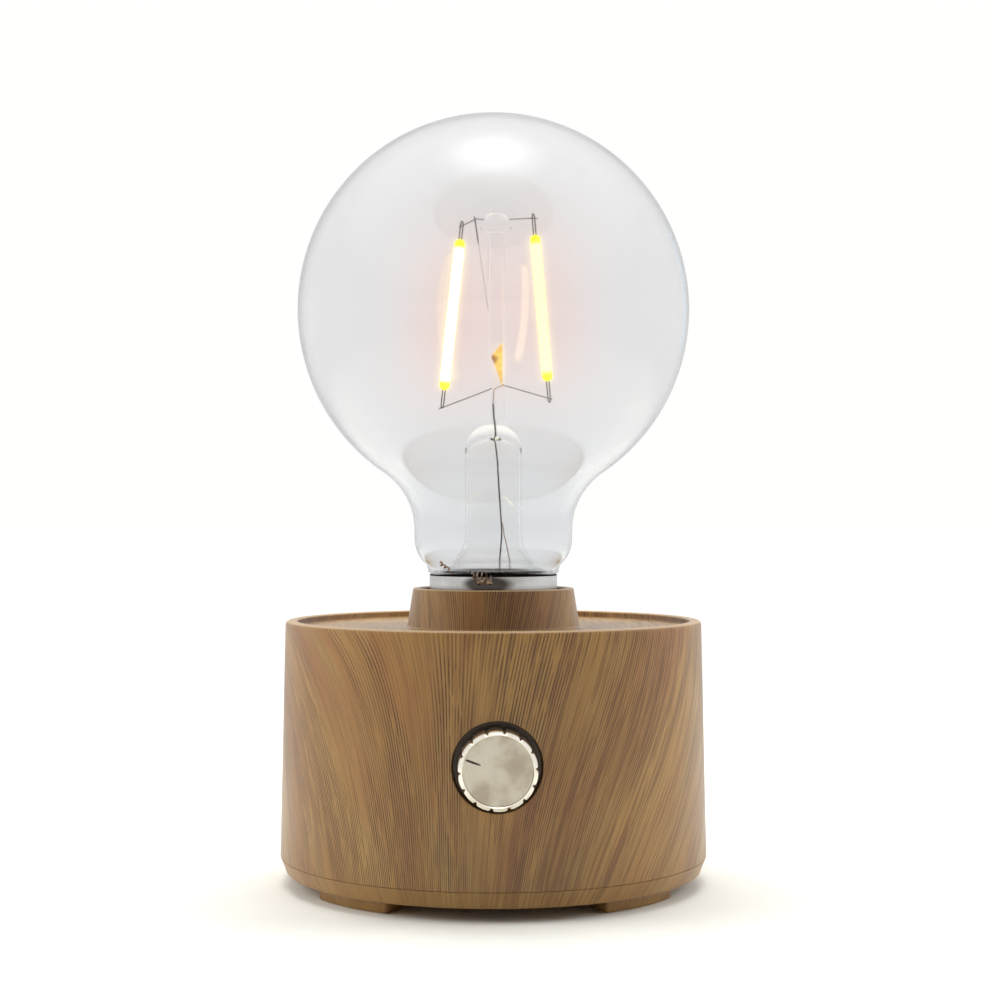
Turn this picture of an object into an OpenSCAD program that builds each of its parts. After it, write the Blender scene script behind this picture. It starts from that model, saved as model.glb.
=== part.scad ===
// Small cordless table lamp: a drum housing with a rotary dimmer, a battery tray behind a door in
// its base plate, and a bare globe bulb that screws into a holder inside the collar.
// Millimetres. The origin is on the lamp's axis in the plane that the feet stand on. +Z is up and
// the knob faces -Y.

/* [Feet and base plate] */
// Height of the feet
foot_h = 2.5; // [1.5:0.1:5]
// Radial width of a foot
foot_w = 6.4; // [4:0.1:8]
// Distance of the feet from the edge of the base plate's underside
foot_inset = 2.4; // [1.5:0.1:4]
// Angle that each foot spans
foot_arc = 28; // [15:1:50]
// Thickness of the base plate's floor
plate_t = 2; // [1.6:0.1:3]
// Height of the base plate's visible edge
lip_h = 3.2; // [2.6:0.1:5]
// How much the base plate draws in from the seam to its underside
lip_draft = 1.05; // [0.5:0.05:2]
// Radius of the base plate's lower edge
lip_round = 0.6; // [0.2:0.1:1]
// Height of the spigot that centres the plate in the housing
spigot_h = 3.4; // [2:0.1:5]
// Wall of the spigot
spigot_wall = 1.4; // [1:0.1:2]
// Gap of the seam between base plate and housing
seam_gap = 0.1; // [0.1:0.05:0.5]

/* [Housing] */
// Outer radius of the drum at the seam
drum_r = 43.45; // [42.5:0.05:50]
// How much the drum draws in from the seam to its rim
drum_draft = 1.05; // [0:0.05:2]
// Height of the drum from the seam to its rim
drum_h = 47.5; // [44:0.5:60]
// Wall of the drum
drum_wall = 2.4; // [1.8:0.1:3]
// Radius of the rim's outer edge
rim_round = 0.8; // [0.2:0.1:1]
// Depth of the deck below the rim
rim_depth = 1.4; // [0.6:0.1:4]
// Thickness of the deck
deck_t = 2.2; // [1.6:0.1:3]
// Height of the collar above the deck
collar_h = 7.9; // [5:0.1:9]
// How much the collar draws in from the deck to its top
collar_draft = 1.1; // [0:0.1:2]
// Wall of the collar at its top
collar_wall = 1.5; // [1:0.1:2.5]

/* [Dimmer knob] */
// Height of the knob's axis above the surface that the lamp stands on
knob_z = 28.5; // [28:0.1:34]
// Radius of the knob
knob_r = 7.4; // [6.5:0.1:9]
// How far the knob's face stands proud of the drum
knob_proud = 5.75; // [4.5:0.05:8]
// Number of grooves round the knob
knob_grooves = 14; // [8:1:24]
// Radius of a groove's round bottom
groove_r = 0.5; // [0.3:0.05:0.7]
// Angle of the first groove, from the right and turning left
groove_phase = 3.3; // [0:0.1:25]
// Width of the bevel round the knob's face
knob_bevel = 0.7; // [0.4:0.1:1.2]
// Width of the flat ring between bevel and face
knob_ring = 0.3; // [0.3:0.1:0.8]
// Angle of the pointer, from the right and turning left
pointer_angle = 160; // [90:1:210]
// Length of the pointer
pointer_l = 3; // [2:0.1:4]
// Width of the pointer
pointer_w = 0.5; // [0.4:0.1:1.2]
// Distance of the pointer from the edge of the face
pointer_inset = 0.2; // [0.2:0.1:1]
// Gap between the knob and the wall of its pocket
pocket_gap = 1; // [0.4:0.1:2]
// Depth of the pocket, below the drum's surface
pocket_depth = 2.95; // [1.5:0.05:4]
// Thickness of the wall behind the pocket
pocket_wall = 2.5; // [1.5:0.1:3.5]

/* [Rotary dimmer] */
// Radius of the dimmer's body
dimmer_r = 8.2; // [7.5:0.1:8.4]
// Depth of the dimmer's body
dimmer_t = 7; // [5:0.1:7.2]
// Radius of the dimmer's threaded bushing
bushing_r = 3.5; // [3.4:0.1:4]
// Radius of the dimmer's shaft
shaft_r = 3; // [2.5:0.1:3.1]
// Radial running clearance of the shaft in its bushing
shaft_clear = 0.05; // [0.02:0.01:0.1]
// Width of the dimmer's nut across its flats
nut_af = 10; // [9:0.1:10.5]
// Thickness of the dimmer's nut
nut_t = 2; // [1.5:0.1:2.5]

/* [Bulb glass] */
// Diameter of the globe
globe_d = 80; // [70:1:95]
// Wall of the glass
glass_t = 0.8; // [0.5:0.05:1.2]
// Radius of the neck
neck_r = 16.2; // [14.5:0.1:18]
// Radius of the fillet between globe and neck
neck_fillet = 14; // [10:0.5:18]
// Height of the neck's shoulder above the rim of the cap
shoulder_h = 8.1; // [7:0.1:10]
// Length of the neck's straight part, between shoulder and fillet
neck_l = 1.23; // [0.5:0.01:10]
// Radius of the stem's tube
stem_r = 5.8; // [4:0.1:7]
// Height of the stem's pinch above the rim of the cap
pinch_h = 31.7; // [28:0.1:36]
// Radius of the glass post
post_r = 1.65; // [1.2:0.05:2]
// How far the post stands off the bulb's axis, to the right
post_off = 0.6; // [-1:0.1:1]
// Height of the post's button above the rim of the cap
post_h = 70.7; // [66:0.1:76]
// Radius of the button
button_r = 3.3; // [2.6:0.1:4]
// Height of the button
button_h = 2.7; // [2:0.1:3.5]

/* [Filaments] */
// Radius of a filament rod
filament_r = 0.95; // [0.7:0.05:1.2]
// Length of a filament rod
filament_l = 30.7; // [26:0.1:34]
// Length of the metal tab at each end of a rod
tab_l = 3.8; // [3:0.1:5]
// Distance of the filaments' upper ends from the bulb's axis
filament_top = 7.8; // [6:0.1:9]
// Distance of the filaments' lower ends from the bulb's axis
filament_foot = 10.7; // [8:0.1:13]
// Distance of the filaments from the plane between them, front and back
filament_depth = 4; // [2:0.1:6]
// How much higher the right filament sits than the left one
filament_step = 2.1; // [0:0.1:3]
// Radius of the support wires
wire_r = 0.3; // [0.2:0.05:0.4]

/* [Screw cap and holder] */
// Outer radius of the cap, at its thread's crests and its skirt
cap_r = 13.1; // [13:0.01:13.2]
// Depth of the cap's thread
thread_depth = 0.85; // [0.7:0.01:0.95]
// Pitch of the thread
thread_pitch = 3.629; // [3.6:0.001:3.7]
// Length of the cap from its rim to its tip
cap_l = 26; // [25:0.1:27]
// Height of the cap's smooth skirt
skirt_h = 4.2; // [3:0.1:5]
// How far the rim of the cap stands above the collar
cap_proud = 2.6; // [1:0.1:4]
// Radial gap between the thread of the cap and that of the holder
thread_gap = 0.25; // [0.2:0.01:0.35]
// Gap between the holder and the collar
holder_gap = 0.3; // [0.2:0.05:0.5]
// Wall of the holder's cup
cup_wall = 1; // [0.8:0.05:1.5]
// Thickness of the cup's floor
cup_floor = 2.6; // [2:0.1:4]

/* [Batteries] */
// Radius of a cell
cell_r = 7.25; // [7:0.05:7.3]
// Length of a cell without its nub
cell_l = 49.5; // [49:0.1:49.5]
// Length of the cell's nub
nub_l = 1; // [0.8:0.1:1.2]
// Space between neighbouring cells
cell_gap = 0.4; // [0.3:0.05:0.5]
// Length of a cell's spring when it is pressed
spring_l = 3.5; // [3:0.1:4]
// Thickness of the contact plates
contact_t = 0.4; // [0.3:0.05:0.5]
// Wall of the battery tray
tray_wall = 1.5; // [1.2:0.1:1.6]
// Thickness of the battery door
door_t = 1.8; // [1.4:0.1:2]
// Gap round the battery door
door_gap = 0.2; // [0.15:0.05:0.4]

/* [Wires and board] */
// Radius of an insulated wire
lead_r = 0.8; // [0.6:0.05:0.9]
// Width of the circuit board
board_w = 38; // [32:1:42]
// Height of the circuit board
board_h = 24; // [20:0.5:26]
// Thickness of the circuit board
board_t = 1.6; // [1:0.1:1.6]

/* [Hidden] */
$fn = 72;

// Small gaps: pieces that seat on each other, and a cut that runs past a face.
seat = 0.1;
past = 1;

// Heights of the base and housing
plate_top = foot_h + plate_t;
seam_z = foot_h + lip_h;
drum_z = seam_z + seam_gap;
rim_z = seam_z + drum_h;
deck_z = rim_z - rim_depth;
deck_under = deck_z - deck_t;
collar_z = deck_z + collar_h;

// Radii of the base and housing
rim_r = drum_r - drum_draft;
plate_r = drum_r - lip_draft;
drum_in = drum_r - drum_wall;
spigot_clear = 0.3;
spigot_r = drum_in - spigot_clear;
collar_r = cap_r + thread_gap + 0.35 + cup_wall + holder_gap;
collar_top_r = collar_r + collar_wall;
foot_r = plate_r - foot_inset;

// Screws that hold the base plate, on four bosses along the wall
screw_r = 1.4;
screw_head_r = 2.6;
screw_head_h = 1.8;
boss_r = 3;
post_boss_r = 4.2;
boss_at = spigot_r - spigot_wall - boss_r - 0.3;
boss_z = plate_top + spigot_h + 0.4;
boss_h = 8.6;
screw_seat_z = foot_h + 2.6;
screw_l = boss_z + boss_h - 1.5 - screw_seat_z;

// Knob and dimmer, measured from the lamp's axis towards the front
surface_at = drum_r - drum_draft * (knob_z - seam_z) / drum_h;
knob_front = surface_at + knob_proud;
pocket_at = surface_at - pocket_depth;
pocket_r = knob_r + pocket_gap;
pad_at = pocket_at - pocket_wall;
washer_t = 0.5;
nut_front = pocket_at + washer_t + nut_t;
bushing_front = nut_front + 1;
knob_back = pocket_at + 0.9;
shaft_front = knob_front - 1.5;
dimmer_back = pad_at - dimmer_t;
face_r = knob_r - knob_bevel - knob_ring;
face_depth = 0.3;
face_t = 0.4;
wiper_r = dimmer_r - 2;
wiper_t = 1.2;

// Battery tray, cells and door
cell_pitch = 2 * cell_r + cell_gap;
bay_l = cell_l + nub_l + spring_l + 2 * contact_t;
bay_w = 3 * cell_pitch + 0.2;
cell_z = foot_h + door_t + 0.6 + cell_r;
roof_under = cell_z + cell_r + 0.3;
roof_z = roof_under + tray_wall;
plus_y = bay_l / 2 - contact_t;
tray_corner = 3;
lug_x = bay_w / 2 + tray_wall + 3.2;
lug_r = 2.8;
lug_z = plate_top + 4.5;
lug_t = 1.6;
door_w = bay_w - 0.5;
door_front = -(bay_l / 2 - 1.4);
door_back = door_front + cell_l + nub_l - 0.1;
door_corner = 3;
door_hinge_corner = 8;
// Extra gap at the hinge, where the door's thickness swings past the plate
hinge_swing = 0.2;
hinge_r = 0.9;
hinge_y = door_back + 2.2;
hinge_z = foot_h + 1;
hinge_half = 12;
pin_r = 0.65;
pin_l = 1.4;
pin_clear = 0.05;

// Circuit board, upright behind the dimmer
board_back = dimmer_back - board_t - seat;
board_z = roof_z + 1;
pad_z = board_z + 5;
lamp_pad_z = board_z + 9;
supply_x = cell_pitch;
lamp_x = 6;
tab_top = roof_z + 2.6;
tab_w = 3;

// Screw cap, holder and their thread
cap_rim_z = collar_z + cap_proud;
cap_tip_z = cap_rim_z - cap_l;
tip_t = 0.9;
cap_wall_r = cap_r - thread_depth - 0.3;
skirt_z = cap_rim_z - skirt_h;
thread_low = cap_tip_z + 4.2;
cup_r = collar_r - holder_gap;
cup_bore = cup_r - cup_wall;
cup_top = collar_z - 0.9;
contact_z = cap_tip_z - 0.3;
floor_z = contact_z - 2.2;
cup_z = floor_z - cup_floor;
shell_low = floor_z + 3.6;
shell_top = cup_top - 2.2;
ear_at = cup_r + 3.7;
ear_r = 3.2;
ear_t = 2.4;
ear_z = deck_under - 5.4;
holder_screw_r = 1.3;

// Bulb glass
globe_r = globe_d / 2;
shoulder_z = cap_rim_z + shoulder_h;
fillet_z = shoulder_z + neck_l;
fillet_at = neck_r + neck_fillet;
globe_z = fillet_z + sqrt((globe_r + neck_fillet) ^ 2 - fillet_at ^ 2);
pinch_z = cap_rim_z + pinch_h;
button_z = cap_rim_z + post_h;

// Filaments
fil_top_z = button_z - 2.3;
fil_low_z = fil_top_z - filament_l;

// ---------------------------------------------------------------- shapes

function unit(v) = v / norm(v);
function mix(a, b, t) = a + (b - a) * t;
function flat(list) = [for (l = list) for (p = l) p];

// Points on an arc in the plane of a turned profile
function arc(cx, cy, r, from, to, n) =
    [for (i = [0 : n]) let (a = mix(from, to, i / n)) [cx + r * cos(a), cy + r * sin(a)]];

// Smooth curve through hand-placed points, with k steps between neighbours
function between(a, b, c, d, t) =
    0.5 * (2 * b + (c - a) * t + (2 * a - 5 * b + 4 * c - d) * t * t
        + (3 * b - a - 3 * c + d) * t * t * t);
function curve(p, k) = concat(
    [for (i = [0 : len(p) - 2]) for (j = [0 : k - 1])
        between(p[max(i - 1, 0)], p[i], p[i + 1], p[min(i + 2, len(p) - 1)], j / k)],
    [p[len(p) - 1]]);

// Helix that winds about Z, its radius going from r0 to r1
function helix(r0, r1, h, turns, steps) =
    [for (i = [0 : turns * steps]) let (t = i / (turns * steps))
        [mix(r0, r1, t) * cos(360 * turns * t), mix(r0, r1, t) * sin(360 * turns * t), h * t]];

// Tube of radius r along the points p. No stretch of p may run along ref.
module tube(p, r, sides = 8, ref = [0, 0, 1]) {
    last = len(p) - 1;
    rings = [for (i = [0 : last])
        let (t = unit(p[min(i + 1, last)] - p[max(i - 1, 0)]),
             u = unit(cross(t, ref)), v = cross(t, u))
        [for (j = [0 : sides - 1])
            p[i] + r * (cos(360 * j / sides) * u + sin(360 * j / sides) * v)]];
    walls = [for (i = [0 : last - 1]) for (j = [0 : sides - 1])
        let (a = i * sides + j, b = i * sides + (j + 1) % sides)
        [[a, a + sides, b + sides], [a, b + sides, b]]];
    polyhedron(
        points = flat(rings),
        faces = concat(flat(walls), [[for (j = [0 : sides - 1]) j]],
            [[for (j = [0 : sides - 1]) last * sides + sides - 1 - j]]),
        convexity = 10);
}

// Ring of threaded wall. profile(i) is a list of [radius, height, wave], walked upwards on its
// outside. The radius grows by wave times the thread's height at that place.
module threaded_ring(profile, sides) {
    rings = [for (p = profile) [for (j = [0 : sides - 1])
        let (a = 360 * j / sides, r = p[0] + p[2] * cos(360 * p[1] / thread_pitch - a))
        [r * cos(a), r * sin(a), p[1]]]];
    count = len(profile);
    walls = [for (i = [0 : count - 1]) for (j = [0 : sides - 1])
        let (k = (i + 1) % count, n = (j + 1) % sides,
             a = i * sides + j, b = k * sides + j, c = k * sides + n, d = i * sides + n)
        [[a, b, c], [a, c, d]]];
    polyhedron(points = flat(rings), faces = flat(walls), convexity = 10);
}

// Straight round rod between two points
module rod(a, b, r) {
    d = b - a;
    translate(a) rotate([0, acos(d[2] / norm(d)), atan2(d[1], d[0])]) cylinder(r = r, h = norm(d));
}

// Places its children on the knob's axis: their Z runs from the lamp's axis to the front
module on_knob_axis() translate([0, 0, knob_z]) rotate([90, 0, 0]) children();

// Ring between two radii
module ring(r_out, r_in, h) difference() {
    cylinder(r = r_out, h = h);
    translate([0, 0, -past]) cylinder(r = r_in, h = h + 2 * past);
}

// Upright block with rounded corners, centred on its place
module rounded_block(w, l, h, r) linear_extrude(h) rounded_plan(w, l, r);
module rounded_plan(w, l, r) {
    square([w - 2 * r, l], center = true);
    square([w, l - 2 * r], center = true);
    for (x = [-1, 1], y = [-1, 1]) translate([x * (w / 2 - r), y * (l / 2 - r)]) circle(r, $fn = 32);
}

// Pan-head screw with a cross recess, its head's seat at the origin and its point towards +Z
module screw(shank_r, shank_l, head_r, head_h) {
    difference() {
        translate([0, 0, -head_h]) cylinder(r = head_r, h = head_h, $fn = 40);
        for (a = [0, 90]) rotate([0, 0, a])
            translate([-head_r * 0.6, -0.3, -head_h - past]) cube([head_r * 1.2, 0.6, past + head_h * 0.5]);
    }
    cylinder(r = shank_r, h = shank_l, $fn = 32);
}

module at_bosses() for (a = [0 : 90 : 270]) rotate([0, 0, a]) translate([boss_at, 0, 0]) children();
module at_lugs() for (s = [-1, 1]) translate([s * lug_x, 0, 0]) children();
module at_ears() for (s = [-1, 1]) translate([s * ear_at, 0, 0]) children();

// ---------------------------------------------------------------- base

module feet() color("peru") for (a = [45 : 90 : 315])
    rotate([0, 0, a - foot_arc / 2]) rotate_extrude(angle = foot_arc)
        polygon([[foot_r - foot_w, 0], [foot_r - 0.4, 0], [foot_r, 0.4], [foot_r, foot_h],
            [foot_r - foot_w, foot_h]]);

module base_plate() color("peru") difference() {
    union() {
        rotate_extrude() polygon(concat(
            [[0, foot_h]],
            arc(plate_r - lip_round, foot_h + lip_round, lip_round, -90, 0, 6),
            [[drum_r, seam_z], [drum_in, seam_z], [drum_in - 1, plate_top], [0, plate_top]]));
        translate([0, 0, plate_top - seat]) ring(spigot_r, spigot_r - spigot_wall, spigot_h + seat);
        at_bosses() translate([0, 0, plate_top - seat]) cylinder(r = post_boss_r, h = spigot_h + seat);
        at_lugs() translate([0, 0, plate_top - seat]) cylinder(r = lug_r, h = lug_z - plate_top + seat);
    }
    at_bosses() {
        translate([0, 0, foot_h - past]) cylinder(r = screw_head_r + 0.3, h = screw_seat_z - foot_h + past);
        translate([0, 0, foot_h]) cylinder(r = screw_r + 0.3, h = 20);
    }
    at_lugs() translate([0, 0, plate_top]) cylinder(r = 1, h = lug_z);
    door_hole();
    // Bearings of the door's two pins
    translate([-hinge_half - pin_l - 0.3, hinge_y, hinge_z]) rotate([0, 90, 0])
        cylinder(r = pin_r + pin_clear, h = 2 * (hinge_half + pin_l + 0.3), $fn = 32);
}

// Outline of the battery door, grown by g. Its corners at the hinge are cut wide, so that they
// pass inside the feet when the door hangs open.
module door_plan(g) {
    w = door_w / 2 + g;
    front = door_front - g;
    back = door_back + (g > 0 ? g + hinge_swing : 0);
    polygon(concat(
        arc(w - door_corner, front + door_corner, door_corner, -90, 0, 8),
        arc(w - door_hinge_corner, back - door_hinge_corner, door_hinge_corner, 0, 90, 12),
        arc(-w + door_hinge_corner, back - door_hinge_corner, door_hinge_corner, 90, 180, 12),
        arc(-w + door_corner, front + door_corner, door_corner, 180, 270, 8)));
}

// Opening of the battery door, with the notch for its hinge
module door_hole() translate([0, 0, foot_h - past]) linear_extrude(plate_t + 2 * past) {
    door_plan(door_gap);
    translate([-hinge_half - door_gap, door_back - door_corner])
        square([2 * (hinge_half + door_gap), hinge_y - door_back + door_corner + hinge_r + 0.3]);
}

module base_screws() color("silver") at_bosses() translate([0, 0, screw_seat_z])
    screw(screw_r, screw_l, screw_head_r, screw_head_h);

// ---------------------------------------------------------------- housing

module housing() color("burlywood") difference() {
    union() {
        rotate_extrude() polygon(concat(
            [[drum_in, drum_z], [drum_r, drum_z]],
            arc(rim_r - rim_round, rim_z - rim_round, rim_round, 0, 90, 8),
            [[rim_r - drum_wall + 0.2, rim_z], [rim_r - drum_wall, rim_z - 0.2],
             [rim_r - drum_wall, deck_z], [collar_top_r + collar_draft, deck_z],
             [collar_top_r, collar_z - 0.2], [collar_top_r - 0.2, collar_z],
             [collar_r, collar_z], [collar_r, deck_under],
             [rim_r - drum_wall - 0.6, deck_under], [rim_r - drum_wall, deck_under - 0.6]]));
        // Flat pad on the inside of the wall, which the dimmer is clamped to
        on_knob_axis() translate([0, 0, pad_at]) cylinder(r = pocket_r + 2, h = surface_at - pad_at - 2);
        // Bosses for the base screws, each on a web from the wall
        at_bosses() translate([0, 0, boss_z]) {
            cylinder(r = boss_r, h = boss_h);
            translate([0, -0.9, 0]) cube([drum_in - boss_at + 0.3, 1.8, boss_h]);
        }
        // Bosses under the deck for the holder's screws
        at_ears() translate([0, 0, ear_z + ear_t + seat])
            cylinder(r = ear_r, h = deck_under - ear_z - ear_t);
    }
    on_knob_axis() {
        translate([0, 0, pocket_at]) cylinder(r = pocket_r, h = 20);
        cylinder(r = bushing_r + 0.1, h = 60);
    }
    at_bosses() translate([0, 0, boss_z - past]) cylinder(r = screw_r + 0.02, h = boss_h + past - 1);
    at_ears() translate([0, 0, ear_z]) cylinder(r = holder_screw_r + 0.02, h = deck_z - ear_z - 1);
}

// ---------------------------------------------------------------- batteries

module battery_tray() color("dimgray") difference() {
    union() {
        translate([0, 0, plate_top + seat]) rounded_block(
            bay_w + 2 * tray_wall, bay_l + 2 * tray_wall, roof_z - plate_top - seat, tray_corner);
        at_lugs() translate([0, 0, lug_z + seat]) cylinder(r = lug_r, h = lug_t);
        for (s = [-1, 1]) translate([s * (lug_x + bay_w / 2) / 2, 0, lug_z + seat + lug_t / 2])
            cube([lug_x - bay_w / 2, 2 * lug_r, lug_t], center = true);
    }
    translate([0, 0, plate_top - past])
        rounded_block(bay_w, bay_l, roof_under - plate_top + past, tray_corner - tray_wall);
    at_lugs() translate([0, 0, lug_z]) cylinder(r = 1.3, h = lug_t + past);
    // Slots for the two solder tabs
    for (s = [-1, 1]) translate([s * supply_x, -s * (bay_l - contact_t) / 2, roof_z - tray_wall / 2])
        cube([tab_w + 0.4, contact_t + 0.1, tray_wall + 2 * past], center = true);
}

module tray_screws() color("silver") at_lugs() translate([0, 0, lug_z + lug_t + seat]) rotate([180, 0, 0])
    screw(0.95, lug_t + 3, 2, 1.4);

// Cells lie side by side, the middle one turned round
module at_cells() for (i = [-1 : 1]) translate([i * cell_pitch, 0, cell_z])
    rotate([0, 0, i == 0 ? 180 : 0]) children();

module battery_cells() color("seagreen") at_cells() translate([0, plus_y, 0]) rotate([90, 0, 0]) {
    translate([0, 0, nub_l]) cylinder(r = cell_r, h = cell_l);
    cylinder(r = 2.75, h = nub_l, $fn = 32);
}

module battery_springs() color("gainsboro") at_cells()
    translate([0, -plus_y + 0.35, 0]) rotate([-90, 0, 0])
        tube(helix(4.4, 2.4, spring_l - 0.75, 3, 14), 0.35, 6);

// Contact plates on the tray's end walls: two that end in solder tabs, two that link cells
module contact_plate(from, to, side)
    translate([from, side * (bay_l - contact_t) / 2 - contact_t / 2, cell_z - plate_half])
        cube([to - from, contact_t, 2 * plate_half]);
plate_half = 5;
module battery_contacts() color("gainsboro") {
    contact_plate(-supply_x - plate_half, -supply_x + plate_half, 1);
    contact_plate(-plate_half, supply_x + plate_half, 1);
    contact_plate(-supply_x - plate_half, plate_half, -1);
    contact_plate(supply_x - plate_half, supply_x + plate_half, -1);
    for (s = [-1, 1]) translate([s * supply_x, -s * (bay_l - contact_t) / 2, (tab_top + cell_z) / 2])
        cube([tab_w, contact_t, tab_top - cell_z], center = true);
}

module battery_door() color("peru") difference() {
    union() {
        translate([0, 0, foot_h]) linear_extrude(door_t) door_plan(0);
        translate([-hinge_half, door_back - door_corner, foot_h])
            cube([2 * hinge_half, hinge_y - door_back + door_corner, door_t]);
        translate([-hinge_half, hinge_y, hinge_z]) rotate([0, 90, 0])
            cylinder(r = hinge_r, h = 2 * hinge_half, $fn = 32);
        translate([-hinge_half - pin_l, hinge_y, hinge_z]) rotate([0, 90, 0])
            cylinder(r = pin_r, h = 2 * (hinge_half + pin_l), $fn = 32);
        // Snap fingers between the cells
        for (s = [-1, 1]) translate([s * cell_pitch / 2 - 1.2, door_front + 0.1, foot_h + door_t - seat])
            cube([2.4, 0.9, 3.2]);
    }
    // Grip grooves for a fingertip
    for (i = [0 : 4]) translate([-6, door_front + 5 + 1.6 * i, foot_h - past]) cube([12, 0.7, past + 0.5]);
}

// ---------------------------------------------------------------- dimmer and knob

module dimmer_body() color("slategray") on_knob_axis() difference() {
    translate([0, 0, dimmer_back]) cylinder(r = dimmer_r, h = dimmer_t - seat);
    translate([0, 0, dimmer_back + 1]) cylinder(r = dimmer_r - 1, h = dimmer_t - 2 - seat);
    cylinder(r = shaft_r + 0.6, h = 60);
    translate([0, 0, dimmer_back - past]) cylinder(r = shaft_r + 0.6, h = 1);
}

module dimmer_bushing() color("goldenrod") on_knob_axis() difference() {
    union() {
        translate([0, 0, pad_at]) cylinder(r = bushing_r, h = bushing_front - pad_at);
        translate([0, 0, pad_at - 0.9 - seat]) cylinder(r = shaft_r + 0.55, h = 0.9 + seat);
    }
    cylinder(r = shaft_r + shaft_clear, h = 60);
}

module dimmer_washer() color("silver") on_knob_axis() translate([0, 0, pocket_at + 0.02])
    ring(bushing_r + 2, bushing_r + 0.05, washer_t - 0.04);

module dimmer_nut() color("silver") on_knob_axis() translate([0, 0, pocket_at + washer_t]) difference() {
    cylinder(r = nut_af / 2 / cos(30), h = nut_t, $fn = 6);
    translate([0, 0, -past]) cylinder(r = bushing_r + 0.02, h = nut_t + 2 * past);
}

// Three pins from the dimmer's back through the board
module dimmer_pins() color("gainsboro") on_knob_axis() for (x = [-5, 0, 5])
    translate([x, -4.6, board_back - 1.2])
        cylinder(r = 0.5, h = dimmer_back - board_back + 1.18, $fn = 20);

module dimmer_shaft() color("silver") on_knob_axis() difference() {
    translate([0, 0, dimmer_back + 1.6]) cylinder(r = shaft_r, h = shaft_front - dimmer_back - 1.6);
    // Slot across the shaft's splined end
    translate([-0.5, -shaft_r - past, bushing_front + 0.5]) cube([1, 2 * (shaft_r + past), 10]);
}

module dimmer_wiper() color("ivory") on_knob_axis() translate([0, 0, dimmer_back + 2.6]) {
    ring(wiper_r, shaft_r + 0.02, wiper_t);
    for (a = [60, 120]) rotate([0, 0, a]) translate([wiper_r - 1.6, -0.4, wiper_t]) cube([1.2, 0.8, 1.4]);
}

module knob() color("lightgray") on_knob_axis() difference() {
    union() {
        translate([0, 0, knob_back]) cylinder(r = knob_r, h = knob_front - knob_back - knob_bevel);
        translate([0, 0, knob_front - knob_bevel])
            cylinder(r1 = knob_r, r2 = knob_r - knob_bevel, h = knob_bevel);
    }
    translate([0, 0, knob_front - face_depth - face_t]) cylinder(r = face_r + 0.02, h = 10);
    translate([0, 0, knob_back - past])
        cylinder(r = knob_r - 1.2, h = bushing_front + 0.4 - knob_back + past);
    cylinder(r = shaft_r + 1.2 + 0.02, h = shaft_front + 0.1);
    for (i = [0 : knob_grooves - 1]) rotate([0, 0, groove_phase + i * 360 / knob_grooves])
        translate([knob_r + 0.1, 0, 0]) cylinder(r = groove_r, h = 60, $fn = 20);
}

module knob_sleeve() color("goldenrod") on_knob_axis() translate([0, 0, bushing_front + 0.4])
    ring(shaft_r + 1.2, shaft_r + 0.02, shaft_front - bushing_front - 0.4);

module knob_face() color("whitesmoke") on_knob_axis() difference() {
    translate([0, 0, knob_front - face_depth - face_t + 0.02]) cylinder(r = face_r, h = face_t);
    pointer_bar(0.25, 0.02);
}

// Bar of the pointer, from near the face's edge inwards
module pointer_bar(depth, extra) rotate([0, 0, pointer_angle])
    translate([face_r - pointer_inset - pointer_l - extra, -pointer_w / 2 - extra,
            knob_front - face_depth + 0.02 - depth])
        cube([pointer_l + 2 * extra, pointer_w + 2 * extra, depth + extra]);

module knob_pointer() color("black") on_knob_axis() translate([0, 0, -0.05]) pointer_bar(0.18, 0);

// ---------------------------------------------------------------- circuit board and wires

// Places its children on the board's back: their X is the lamp's, Y is up and Z runs backwards
module on_board() translate([0, -board_back, board_z]) rotate([90, 0, 180]) children();

module circuit_board() color("darkgreen") difference() {
    translate([-board_w / 2, -board_back - board_t, board_z]) cube([board_w, board_t, board_h]);
    on_knob_axis() for (x = [-5, 0, 5]) translate([x, -4.6, board_back - past])
        cylinder(r = 0.55, h = board_t + 2 * past, $fn = 20);
}

module board_inductor() color("saddlebrown") on_board() translate([0.29 * board_w, board_h - 6, seat]) {
    cylinder(r = 4.4, h = 1);
    cylinder(r = 3.4, h = 5.4);
    translate([0, 0, 4.4]) cylinder(r = 4.4, h = 1);
}

module board_capacitors() color("midnightblue") on_board() for (x = [-0.24, -0.425])
    translate([x * board_w, board_h - 5, seat]) cylinder(r = 3.15, h = 7);

module board_chips() color("black") on_board() {
    translate([-2.5, board_h - 6.5, seat]) cube([5, 4, 1.6]);
    for (x = [0.16, -0.24]) translate([x * board_w, 3, seat]) cube([3, 1.6, 1.1]);
}

module board_terminals() color("gainsboro") {
    for (s = [-1, 1], place = [[supply_x, pad_z], [lamp_x, lamp_pad_z]])
        translate([s * place[0], -board_back + 0.6, place[1]]) cube([2.4, 1, 2.4], center = true);
}

// Routes run from a solder tab or a terminal to the board's terminal of the same colour
wire_end_y = -board_back + 1.25;
roof_wire_z = roof_z + lead_r + 0.1;

module supply_wire_red() color("red") tube(curve([
    [-supply_x, bay_l / 2 - contact_t - lead_r - 0.1, tab_top - 0.4],
    [-supply_x - 1, bay_l / 2 - 5.4, roof_wire_z + 0.6],
    [-supply_x - 3, bay_l / 4, roof_wire_z], [-supply_x - 3, 0, roof_wire_z],
    [-supply_x - 3, wire_end_y / 2, roof_wire_z], [-supply_x - 1, wire_end_y + 7.5, roof_wire_z + 1],
    [-supply_x, wire_end_y + 3, pad_z - 0.6],
    [-supply_x, wire_end_y, pad_z]], 4), lead_r);

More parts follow.
